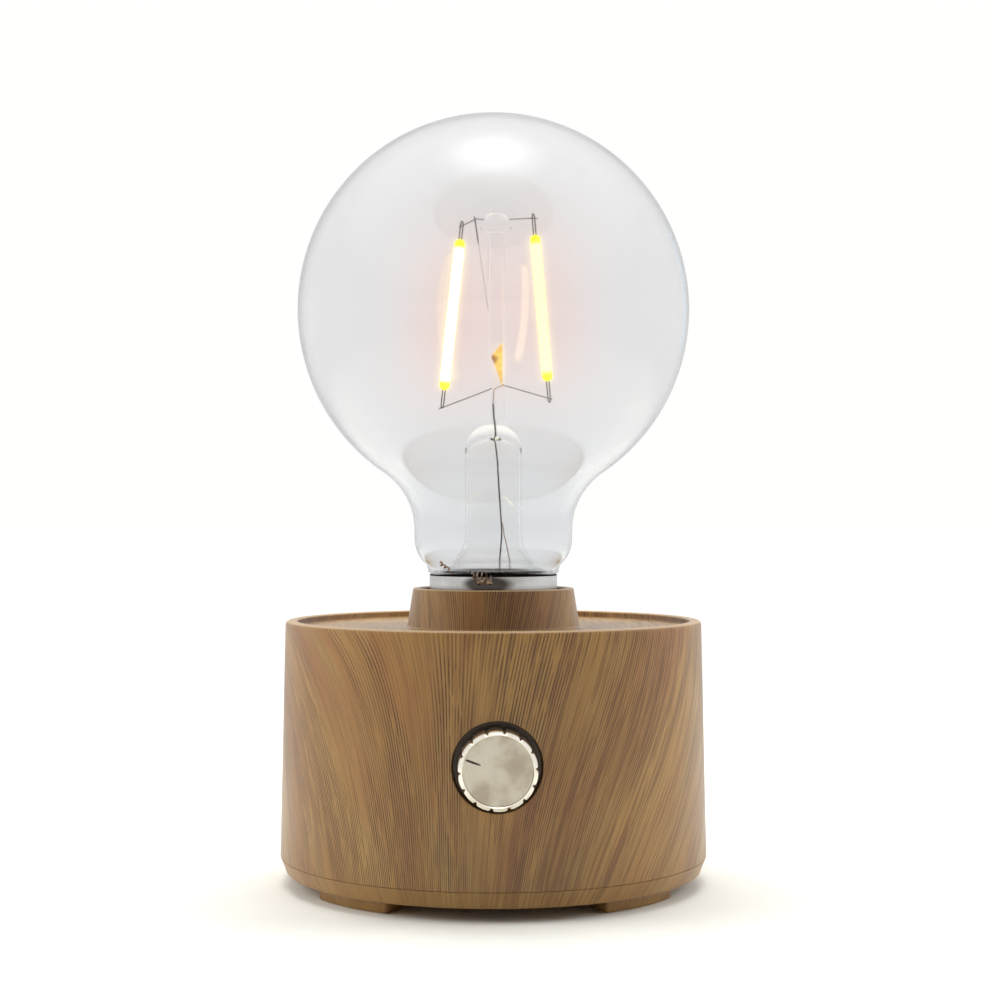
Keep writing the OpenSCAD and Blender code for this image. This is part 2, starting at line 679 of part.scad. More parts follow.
module supply_wire_black() color("black") tube(curve([
    [supply_x + 1.6 + lead_r, -bay_l / 2 + contact_t + 0.5, tab_top - 0.6],
    [supply_x + 3, -bay_l / 2 + 3, tab_top - 0.2],
    [supply_x + 2, wire_end_y + 3.4, pad_z - 1.4], [supply_x, wire_end_y + 1.6, pad_z],
    [supply_x, wire_end_y, pad_z]], 4), lead_r,
    ref = [1, 0, 0]);

tag_x = 8;
tag_y = -7.4;
tag_low = cup_z - 3.4;
module lamp_wire(s) tube(curve([
    [s * tag_x, tag_y - 0.4 - lead_r, tag_low + 1], [s * tag_x, tag_y - 4, tag_low + 1.4],
    [s * (tag_x + 1), -18, lamp_pad_z - 1.4], [s * lamp_x, wire_end_y + 3.6, lamp_pad_z],
    [s * lamp_x, wire_end_y, lamp_pad_z]], 4), lead_r);
module lamp_wire_red() color("red") lamp_wire(-1);
module lamp_wire_black() color("black") lamp_wire(1);

// ---------------------------------------------------------------- lamp holder

module holder_cup() color("ivory") difference() {
    union() {
        translate([0, 0, cup_z]) cylinder(r = cup_r, h = cup_top - cup_z);
        at_ears() translate([0, 0, ear_z]) cylinder(r = ear_r, h = ear_t);
        translate([-ear_at, -ear_r, ear_z]) cube([2 * ear_at, 2 * ear_r, ear_t]);
    }
    translate([0, 0, floor_z]) cylinder(r = cup_bore, h = 60);
    at_ears() translate([0, 0, ear_z - past]) cylinder(r = holder_screw_r + 0.2, h = ear_t + 2 * past);
    for (s = [-1, 1]) translate([s * tag_x, 0, cup_z - past])
        cylinder(r = 1.1, h = cup_floor + 2 * past, $fn = 24);
}

module holder_screw_shell() color("goldenrod") {
    mean = cap_r - thread_depth / 2 + thread_gap;
    rows = ceil((shell_top - shell_low) / thread_pitch * 7);
    threaded_ring(concat(
        [[cup_bore - seat, shell_low, 0], [cup_bore - seat, shell_top, 0]],
        [for (i = [rows : -1 : 0]) [mean, mix(shell_low, shell_top, i / rows), thread_depth / 2]]), 24);
}

// Spring leaf under the tip of the cap, on a rivet in the floor
module holder_centre_contact() color("goldenrod") {
    translate([-tag_x - 1.6, -2, floor_z + seat]) cube([tag_x + 3.6, 4, 0.5]);
    translate([0, 0, floor_z + seat]) cylinder(r = 2.4, h = contact_z - floor_z - seat);
}

// Rivets through the floor, each with a tag bent down for its wire
module holder_terminals() color("goldenrod") {
    for (s = [-1, 1]) {
        translate([s * tag_x, 0, cup_z - 0.6]) cylinder(r = 1, h = cup_floor + (s < 0 ? 0.6 : 1.6), $fn = 24);
        translate([s * tag_x, 0, cup_z - 1.1]) cylinder(r = 1.9, h = 0.6, $fn = 24);
        translate([s * tag_x - 2, tag_y, cup_z - 0.6]) cube([4, 2 - tag_y, 0.5]);
        translate([s * tag_x - 2, tag_y, tag_low]) cube([4, 0.5, cup_z - 0.1 - tag_low]);
    }
    // Arm from the right-hand rivet up to the lower edge of the threaded shell
    translate([tag_x - 1, -1.5, floor_z + 0.5]) cube([cup_bore - tag_x - 0.6, 3, 0.5]);
    translate([cup_bore - 1.6 - 0.5, -1.5, floor_z + 0.5]) cube([0.5, 3, shell_low - floor_z - 0.6]);
}

module holder_screws() color("silver") at_ears() translate([0, 0, ear_z - 0.05])
    screw(holder_screw_r, deck_z - 2 - ear_z, 2.5, 1.6);

// ---------------------------------------------------------------- bulb

// Outline of the glass from its top to its lower end, drawn in by t
function glass_side(t) =
    let (a = acos(fillet_at / (globe_r + neck_fillet)), s = 45,
         centre = neck_r - shoulder_r, apart = shoulder_r + foot_fillet)
    concat(
        arc(0, globe_z, globe_r - t, 90, -a, 30),
        arc(fillet_at, fillet_z, neck_fillet + t, 180 - a, 180, 8),
        arc(centre, shoulder_z, shoulder_r - t, 0, -s, 5),
        arc(centre + apart * cos(s), shoulder_z - apart * sin(s), foot_fillet + t, 180 - s, 180, 4),
        [[cap_r - 0.6 - t, cap_rim_z - 0.1], [cap_wall_r - 0.1 - t, cap_rim_z - 1.2],
         [cap_wall_r - 0.3 - t, glass_low]]);
glass_low = cap_rim_z - 3;
// Radii of the neck's shoulder and of the hollow below it
shoulder_r = 7;
foot_fillet = 4;

module bulb_globe() color("lightblue", 0.4) rotate_extrude($fn = 96)
    polygon(concat(glass_side(0), [for (i = [len(glass_side(0)) - 1 : -1 : 0]) glass_side(glass_t)[i]]));

// Flare, tube and pinch of the stem. The flare meets the neck just above the rim of the cap.
flare_r = cap_r - 0.9;
flare_z = cap_rim_z + 1.1;
flare_h = 7.6;
module bulb_stem() color("lightcyan", 0.5) {
    t = 0.9;
    outside = concat(
        [[flare_r, flare_z - 0.4]],
        [for (i = [0 : 8]) let (a = mix(270, 180, i / 8))
            [flare_r + (flare_r - stem_r) * cos(a), flare_z + flare_h + flare_h * sin(a)]],
        [[stem_r, pinch_z - 6]],
        [for (i = [1 : 6]) let (a = mix(0, 70, i / 6)) [stem_r * cos(a), pinch_z - 6 + 5.4 * sin(a)]],
        [[post_r + 0.35, pinch_z], [0, pinch_z]]);
    inside = concat(
        [[0, pinch_z - 3.4]],
        [for (i = [4 : -1 : 0]) let (a = mix(0, 72, i / 4))
            [(stem_r - t) * cos(a), pinch_z - 7 + 3.6 * sin(a)]],
        [for (i = [8 : -1 : 0]) let (a = mix(270, 180, i / 8))
            [flare_r + (flare_r - stem_r + t) * cos(a), flare_z + flare_h + (flare_h + t * 0.6) * sin(a)]]);
    rotate_extrude() polygon(concat(outside, inside));
}

// Solid glass post with the button that holds the upper wires
module stem_post() color("lightcyan", 0.5) translate([post_off, 0, 0]) {
    translate([0, 0, pinch_z + 0.05]) cylinder(r = post_r, h = button_z - pinch_z, $fn = 32);
    translate([0, 0, button_z]) rotate_extrude($fn = 48) polygon(concat(
        [[0, 0], [post_r, 0]], arc(button_r - 0.9, 0.9, 0.9, -60, 90, 6),
        [[button_r - 1.2, button_h], [0, button_h]]));
}

// Ends of a filament rod: side is -1 on the left and 1 on the right
function fil_shift(side) = side > 0 ? filament_step : 0;
function fil_top(side) =
    [side * filament_top + post_off + 0.3, side * filament_depth, fil_top_z + fil_shift(side)];
function fil_low(side) =
    [side * filament_foot + post_off, side * filament_depth, fil_low_z + fil_shift(side)];
function fil_dir(side) = unit(fil_top(side) - fil_low(side));

module filament_left() color("orange") rod(fil_low(-1), fil_top(-1), filament_r);
module filament_right() color("orange") rod(fil_low(1), fil_top(1), filament_r);

module filament_tabs() color("silver") for (side = [-1, 1]) {
    d = fil_dir(side);
    tilt = atan2(d[0], d[2]);
    for (p = [fil_top(side) + 0.05 * d, fil_low(side) - (tab_l + 0.05) * d])
        translate(p) rotate([0, tilt, 0]) translate([-0.6, -0.15, 0]) cube([1.2, 0.3, tab_l]);
}

// The support wires. Where they end in the post, its glass holds them.
wire_sides = 6;
function tab_top_of(side) = fil_top(side) + (tab_l + 1.4 * wire_r) * fil_dir(side);
function tab_low_of(side) = fil_low(side) - (tab_l + 1.4 * wire_r) * fil_dir(side);
in_button = [post_off, 0, button_z + button_h / 2];
function along(a, b, t, drop) = mix(a, b, t) + [0, 0, drop];

module top_cross_wire() color("dimgray") {
    for (side = [-1, 1]) tube(curve([
        tab_top_of(side), along(in_button, tab_top_of(side), 0.5, wire_r * 2),
        along(in_button, tab_top_of(side), 0.2, 0)], 4), wire_r, wire_sides);
}

// Thin wire that hangs from the left cross wire and ends on the post's side
jumper_end = in_button + [-post_r, -wire_r, -0.6 * filament_l];
jumper_start = along(in_button, tab_top_of(-1), 0.66, -wire_r * 0.6);
module jumper_wire() color("dimgray") tube(curve([
    jumper_start, along(jumper_start, jumper_end, 0.24, 0), along(jumper_start, jumper_end, 0.6, 0),
    jumper_end], 4), wire_r * 0.7, wire_sides, ref = [0, 1, 0]);

// Height at which the lower wires leave the post
low_wire_z = fil_low_z + wire_r * 2;
module lower_wires() color("dimgray") for (side = [-1, 1]) {
    end = [post_off + side * post_r / 2, side * wire_r, low_wire_z + (side > 0 ? wire_r * 2 : 0)];
    tube(curve([tab_low_of(side), along(end, tab_low_of(side), 0.5, wire_r / 2), end], 4),
        wire_r, wire_sides);
}

// Wires from the pinch down the stem's tube to the driver, and from the driver to the cap's rim.
// Their heights in the tube are shares of the way from the pinch to the rim.
driver_z = skirt_z - 9;
driver_t = 1;
function down_stem(share) = mix(pinch_z, cap_rim_z, share);
module lead_in_wires() color("brown") {
    tube(curve([
        [0.2, 0, down_stem(0.12)], [0.4, 0, down_stem(0.28)], [1.1, 0, down_stem(0.57)],
        [1.7, 0, down_stem(0.85)], [1.3, 0, cap_rim_z], [2, 0, driver_z + driver_t + seat]], 4),
        wire_r, wire_sides, ref = [0, 1, 0]);
    tube(curve([
        [-0.6, 0.8, down_stem(0.12)], [-0.4, 1.4, down_stem(0.38)], [2.5, 1, down_stem(0.82)],
        [3.6, 0.6, cap_rim_z], [5, 0, driver_z + driver_t + seat]], 4),
        wire_r * 0.8, wire_sides, ref = [0, 1, 0]);
    tube(curve([
        [-3, -6, driver_z + driver_t + seat], [-3, -7, driver_z + 3],
        [-2, -9, driver_z + 6], [-0.8, -cap_wall_r + 0.5, glass_low - 1.6]], 4),
        wire_r, wire_sides, ref = [0, 1, 0]);
}

module bulb_driver() color("darkgreen") translate([0, 0, driver_z]) {
    cylinder(r = cap_wall_r - 0.3, h = driver_t);
    translate([-7, -3, driver_t - 0.05]) cube([5, 6, 2]);
    translate([3.4, 2.5, driver_t - 0.05]) cylinder(r = 2, h = 4);
    // Centre lead down to the tip
    translate([0, 0, cap_tip_z + tip_t + 0.3 - driver_z])
        cylinder(r = 0.4, h = driver_z - cap_tip_z - tip_t - 0.2, $fn = 20);
}

module bulb_cap() color("silver") {
    mean = cap_r - thread_depth / 2;
    rows = ceil((skirt_z - thread_low) / thread_pitch * 7);
    threaded_ring(concat(
        [[cap_r - 0.35, cap_rim_z, 0], [cap_r - 0.35, skirt_z + 0.6, 0],
         [cap_wall_r, skirt_z - 0.6, 0], [cap_wall_r, thread_low, 0],
         [cap_wall_r - 1.6, thread_low - 1.6, 0], [cap_wall_r - 1.2, thread_low - 1.9, 0]],
        [for (i = [0 : rows]) let (z = mix(thread_low, skirt_z, i / rows),
             low = min(1, (z - thread_low) / 1.5), high = min(1, (skirt_z - z) / 1.8))
            [mix(cap_r, mix(cap_wall_r + 0.3, mean, low), high), z, thread_depth / 2 * min(low, high)]],
        [[cap_r, skirt_z + 0.6, 0], [cap_r, cap_rim_z, 0]]), 32);
}

module cap_cement() color("linen") rotate_extrude() polygon([
    [cap_wall_r - 0.15, glass_low - 0.4], [cap_r - 0.5, skirt_z + 0.9], [cap_r - 0.5, cap_rim_z - 0.5],
    [cap_r - 0.6, cap_rim_z - 0.6], [cap_wall_r + 0.02, cap_rim_z - 1.3], [cap_wall_r - 0.12, glass_low]]);

// Solder spot on the cap's rim, at the front
module cap_solder() color("silver") translate([-0.7, -cap_r - 0.05, cap_rim_z - 1]) rotate([90, 0, 0])
    intersection() {
        translate([0, 0, -1.2]) sphere(r = 1.7, $fn = 32);
        cylinder(r = 1.2, h = 1, $fn = 32);
    }

module cap_insulator() color("black") rotate_extrude() polygon([
    [3.9, cap_tip_z + tip_t + 0.1], [5, cap_tip_z + tip_t - 0.2], [cap_wall_r - 1.8, thread_low - 1.7],
    [cap_wall_r - 1.4, thread_low - 1.3], [cap_wall_r - 2.8, thread_low - 1.3],
    [3.9, cap_tip_z + tip_t + 1.2]]);

module bulb_tip_contact() color("silver") rotate_extrude($fn = 48) polygon(concat(
    [[0, cap_tip_z], [3, cap_tip_z]], arc(3, cap_tip_z + 0.5, 0.5, -90, 0, 4),
    [[3.5, cap_tip_z + tip_t], [0, cap_tip_z + tip_t]]));

feet();
base_plate();
base_screws();
housing();
battery_tray();
tray_screws();
battery_cells();
battery_springs();
battery_contacts();
battery_door();
dimmer_body();
dimmer_bushing();
dimmer_washer();
dimmer_nut();
dimmer_pins();
dimmer_shaft();
dimmer_wiper();
knob();
knob_face();
knob_pointer();
knob_sleeve();
circuit_board();
board_inductor();
board_capacitors();
board_chips();
board_terminals();
supply_wire_red();
supply_wire_black();
lamp_wire_red();
lamp_wire_black();
holder_cup();
holder_screw_shell();
holder_centre_contact();
holder_terminals();
holder_screws();
bulb_globe();
bulb_stem();
stem_post();
filament_left();
filament_right();
filament_tabs();
top_cross_wire();
jumper_wire();
lower_wires();
lead_in_wires();
bulb_cap();
cap_cement();
cap_solder();
cap_insulator();
bulb_driver();
bulb_tip_contact();
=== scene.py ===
import math

import bmesh
import bpy
import numpy as np
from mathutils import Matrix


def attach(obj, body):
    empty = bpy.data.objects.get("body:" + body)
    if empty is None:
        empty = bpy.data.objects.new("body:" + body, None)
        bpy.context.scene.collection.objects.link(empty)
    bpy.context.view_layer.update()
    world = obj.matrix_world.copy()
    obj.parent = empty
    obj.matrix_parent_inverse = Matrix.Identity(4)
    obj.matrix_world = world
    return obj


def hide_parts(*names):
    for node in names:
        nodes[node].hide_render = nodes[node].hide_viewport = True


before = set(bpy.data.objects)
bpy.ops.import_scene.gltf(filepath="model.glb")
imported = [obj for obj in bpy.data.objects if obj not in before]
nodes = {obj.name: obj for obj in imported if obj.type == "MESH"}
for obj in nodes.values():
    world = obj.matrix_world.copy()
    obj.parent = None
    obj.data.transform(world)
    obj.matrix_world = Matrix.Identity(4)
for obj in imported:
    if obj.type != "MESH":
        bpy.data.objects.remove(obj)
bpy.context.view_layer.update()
MM = 0.001

# ---------------------------------------------------------------- Camera, floor and light
# A small photo table: a matt white sheet lies under the lamp and fades into white walls. Soft lamps
# hang above and at both sides, and the room before the table is dimmer.

horizon_row, axis_column, focal_pixels = 518.5, 493.4, 1850
camera_distance, camera_height, camera_turn = 0.380, 0.0739, math.radians(-1)
photo_size, sensor = 1000, 36

lens = bpy.data.cameras.new("photo_camera")
lens.sensor_width = sensor
lens.lens = sensor * focal_pixels / photo_size
lens.shift_x = (photo_size / 2 - axis_column) / photo_size
lens.shift_y = (horizon_row - photo_size / 2) / photo_size
lens.clip_start, lens.clip_end = 0.01, 50
camera = bpy.data.objects.new("photo_camera", lens)
camera.location = (camera_distance * math.sin(camera_turn), -camera_distance * math.cos(camera_turn),
                   camera_height)
camera.rotation_euler = (math.radians(90), 0, camera_turn)
bpy.context.scene.collection.objects.link(camera)
bpy.context.scene.camera = camera
bpy.context.scene.view_settings.view_transform = "Standard"


def tone(red, green, blue):
    """Colour as a screen shows it, 0 to 255, turned into the linear colour that shaders use."""
    c = np.array([red, green, blue]) / 255
    return (*np.where(c < 0.04045, c / 12.92, ((c + 0.055) / 1.055) ** 2.4), 1)


def put(tree, kind, inputs=None, **settings):
    """New shader node. Inputs map a socket's name or number to a value or to the socket feeding it."""
    made = tree.nodes.new("ShaderNode" + kind)
    for key, value in settings.items():
        setattr(made, key, value)
    for key, value in (inputs or {}).items():
        if isinstance(value, bpy.types.NodeSocket):
            tree.links.new(value, made.inputs[key])
        else:
            made.inputs[key].default_value = value
    return made


def calc(tree, operation, *terms):
    """Output of a Math node that works on up to three numbers or sockets."""
    return put(tree, "Math", dict(enumerate(terms)), operation=operation).outputs[0]


def ramp(tree, value, low, high, start=0.0, end=1.0):
    """Value carried from the span low..high to the span start..end, smoothly, and held outside it."""
    terms = {"Value": value, "From Min": low, "From Max": high, "To Min": start, "To Max": end}
    return put(tree, "MapRange", terms, interpolation_type="SMOOTHSTEP").outputs["Result"]


def blend(tree, share, first, second, how="MIX"):
    """Colour between two colours."""
    mixer = put(tree, "Mix", data_type="RGBA", blend_type=how)
    for key, value in (("Factor_Float", share), ("A_Color", first), ("B_Color", second)):
        socket = next(s for s in mixer.inputs if s.identifier == key)
        if isinstance(value, bpy.types.NodeSocket):
            tree.links.new(value, socket)
        else:
            socket.default_value = value
    return next(s for s in mixer.outputs if s.identifier == "Result_Color")


def finish_of(name, **shader):
    """Material with one Principled shader and these plain values on its sockets."""
    material = bpy.data.materials.new(name)
    material.use_nodes = True
    body = material.node_tree.nodes["Principled BSDF"]
    for key, value in shader.items():
        body.inputs[key.replace("_", " ")].default_value = value
    return material, material.node_tree, body


world = bpy.data.worlds.new("studio")
bpy.context.scene.world = world
world.use_nodes = True
room = world.node_tree
gaze = put(room, "TexCoord").outputs["Generated"]


def wall_patch(toward, half_width, half_height, soft):
    """Share of a bright oval patch on the wall: 1 inside it, falling to 0 at its edge. Sizes are the
    sines of its half angles, and soft is the share of them over which it fades."""
    middle = np.array(toward) / np.linalg.norm(toward)
    side = np.cross(middle, (0, 0, 1)) / np.linalg.norm(np.cross(middle, (0, 0, 1)))
    squares = []
    for axis, size in ((side, half_width), (np.cross(side, middle), half_height)):
        off = put(room, "VectorMath", {0: gaze, 1: axis / size}, operation="DOT_PRODUCT").outputs["Value"]
        squares.append(calc(room, "MULTIPLY", off, off))
    reach = calc(room, "SQRT", calc(room, "ADD", *squares))
    ahead = put(room, "VectorMath", {0: gaze, 1: middle}, operation="DOT_PRODUCT").outputs["Value"]
    this_side = calc(room, "GREATER_THAN", ahead, 0.0)
    return calc(room, "MULTIPLY", ramp(room, reach, 1 - soft, 1.0, 1.0, 0.0), this_side)


# Walls as the lamp mirrors them: grey behind it, lighter at the sides, dimmer in front, with a soft
# light above and a window. That light shows only as a mirror image, not through the glass. What
# lights the matt parts from the front is dimmer still, and the camera sees the walls white.
wall_behind, wall_before, wall_beside = (0.775, 0.772, 0.775, 1), (0.5, 0.5, 0.51, 1), (0.07, 0.07, 0.07)
matt_behind, matt_before, seen_white = (0.8, 0.8, 0.8, 1), (0.1, 0.1, 0.1, 1), (1, 1, 0.992, 1)
sideways, depth = put(room, "SeparateXYZ", {0: gaze}).outputs[:2]
walls = blend(room, ramp(room, depth, -1.0, -0.35), wall_before, wall_behind)
beside = ramp(room, calc(room, "ABSOLUTE", sideways), 0.3, 0.8)
path = put(room, "LightPath").outputs
mirrored = calc(room, "SUBTRACT", 1.0, path["Is Transmission Ray"])
softbox = calc(room, "MULTIPLY", wall_patch((0, 0.04, 1), 0.42, 0.5, 1.0), mirrored)
ceiling = wall_patch((0, 0.25, 0.97), 1.1, 0.8, 0.8)
window = wall_patch((0.49, 0.86, 0.14), 0.12, 0.3, 0.8)
for patch, colour in ((softbox, (4.4, 4.4, 4.6)), (ceiling, (0.34, 0.37, 0.41)),
                      (window, (0.02, 0.12, 0.2)), (beside, wall_beside)):
    walls = put(room, "VectorMath", {0: patch, 1: colour, 2: walls}, operation="MULTIPLY_ADD").outputs[0]
matt_light = blend(room, ramp(room, depth, -0.9, 0.05), matt_before, matt_behind)
walls = blend(room, path["Is Diffuse Ray"], walls, matt_light)
walls = blend(room, path["Is Camera Ray"], walls, seen_white)
room.links.new(walls, room.nodes["Background"].inputs["Color"])


def soft_box(name, width, height, place, target, power, colour=(1, 1, 1)):
    """Rectangular lamp at a place, turned to face a target."""
    lamp = bpy.data.lights.new(name, "AREA")
    lamp.shape, lamp.size, lamp.size_y = "RECTANGLE", width, height
    lamp.energy, lamp.color = power, colour
    holder = bpy.data.objects.new(name, lamp)
    holder.location = place
    aim = np.array(target) - np.array(place)
    pan, rise = math.atan2(aim[1], aim[0]), math.asin(aim[2] / np.linalg.norm(aim))
    holder.rotation_euler = (math.pi / 2 + rise, 0, pan - math.pi / 2)
    holder.visible_camera = holder.visible_glossy = holder.visible_transmission = False
    bpy.context.scene.collection.objects.link(holder)


soft_box("box_above", 1.0, 0.6, (0, 0.3, 1.2), (0, 0, 0.1), 11)
soft_box("box_left", 0.6, 0.9, (-1.1, -0.1, 0.55), (0, 0, 0.03), 7)
soft_box("box_right", 0.5, 0.9, (1.1, 0.1, 0.5), (0, 0, 0.03), 6.4, (0.95, 0.98, 1))


def grid_faces(rows, columns, closed=True):
    """Quads between neighbouring points of a grid. A closed one joins its last column to its first."""
    i = np.arange(rows - 1)[:, None]
    j = np.arange(columns if closed else columns - 1)[None, :]
    k = (j + 1) % columns
    quads = [i * columns + j, i * columns + k, (i + 1) * columns + k, (i + 1) * columns + j]
    return np.stack(quads, -1).reshape(-1, 4)


def surface(points, closed=True):
    """Points of a grid, rows by columns by three, as a list of points with the quads between them."""
    rows, columns = points.shape[:2]
    return points.reshape(-1, 3), grid_faces(rows, columns, closed)


def shape(name, surfaces, material, crease=35, tags=None):
    """Object made of surfaces in millimetres. Points that meet are merged, which closes seams and
    poles, faces are turned outwards, and edges sharper than the crease angle stay sharp. Tags are
    numbers per point, kept as attributes."""
    points = np.concatenate([p for p, f in surfaces])
    starts = np.cumsum([0] + [len(p) for p, f in surfaces[:-1]])
    faces = np.concatenate([f + start for (p, f), start in zip(surfaces, starts)])
    mesh = bpy.data.meshes.new(name)
    mesh.from_pydata(points * MM, [], faces)
    for key, values in (tags or {}).items():
        mesh.attributes.new(key, "FLOAT", "POINT").data.foreach_set("value", values.ravel())
    solid = bmesh.new()
    solid.from_mesh(mesh)
    bmesh.ops.remove_doubles(solid, verts=solid.verts, dist=2e-6)
    bmesh.ops.recalc_face_normals(solid, faces=solid.faces)
    solid.to_mesh(mesh)
    solid.free()
    mesh.shade_smooth()
    mesh.set_sharp_from_angle(angle=math.radians(crease))
    mesh.materials.append(material)
    made = bpy.data.objects.new(name, mesh)
    bpy.context.scene.collection.objects.link(made)
    return made


def piece(name, surfaces, material, body, slot, stands_for=(), **more):
    """Shape that rides on a body, takes the given material, and stands for CAD nodes, which it hides. The
    slot is not used.
    """
    made = shape(name, surfaces, material, **more)
    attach(made, body)
    if stands_for:
        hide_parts(*stands_for)
    return made


def arc(cx, cz, radius, start, end, count):
    """Points on a circle of a turned profile, from one angle to another in degrees."""
    a = np.radians(np.linspace(start, end, count))
    return np.stack([cx + radius * np.cos(a), cz + radius * np.sin(a)], -1)


def profile(*parts):
    """Radius and height pairs and runs of them, joined into one outline."""
    return np.concatenate([np.atleast_2d(np.array(part, float)) for part in parts])


def turned(outline, sides=192):
    """Outline carried round the upright axis: each point is (r cos a, r sin a, z)."""
    a = np.linspace(0, 2 * np.pi, sides, endpoint=False)
    r, z = outline[:, :1], outline[:, 1:]
    return surface(np.stack([r * np.cos(a), r * np.sin(a), z + 0 * a], -1))


# The sheet fades into the walls far from the lamp. It is greyer to the glass than to the camera, as
# the walls are, so that the clear bulb stands out against the white ground.
sheet_z, sheet_r, sheet_step, fade_from, fade_to = -0.02, 9000, 400, 0.1, 0.5
grey_share, grey_wall = (0.84, 0.84, 0.84, 1), (0.76, 0.76, 0.765, 1)
paper, tree, shader = finish_of("white_paper", Roughness=0.9, Specular_IOR_Level=0.15)
place = put(tree, "TexCoord").outputs["Object"]
fibre = put(tree, "TexNoise", {"Scale": 90.0, "Detail": 3.0, "Vector": place}).outputs["Fac"]
away = put(tree, "VectorMath", {0: place}, operation="LENGTH").outputs["Value"]
away = ramp(tree, away, fade_from, fade_to)
shown = put(tree, "LightPath").outputs["Is Camera Ray"]
white = blend(tree, fibre, tone(243, 242, 235), tone(247, 246, 239))
near = blend(tree, shown, blend(tree, 1.0, white, grey_share, "MULTIPLY"), white)
tree.links.new(blend(tree, away, near, (0, 0, 0, 1)), shader.inputs["Base Color"])
tree.links.new(blend(tree, shown, grey_wall, seen_white), shader.inputs["Emission Color"])
tree.links.new(away, shader.inputs["Emission Strength"])
sheet = turned(profile((0, sheet_z), (sheet_step, sheet_z), (sheet_r, sheet_z)), 96)
sheet_of_paper = shape("floor", [sheet], paper)

# ---------------------------------------------------------------- Feet
# Four arc-shaped pads under the base plate, moulded with it and covered by the same printed film.
# The film is a photo-like oak print: fine upright lines that fan out, over broad tan and red bands.

foot_h, foot_w, foot_r, foot_arc, foot_edge = 2.5, 6.4, 40.0, 28.0, 0.45


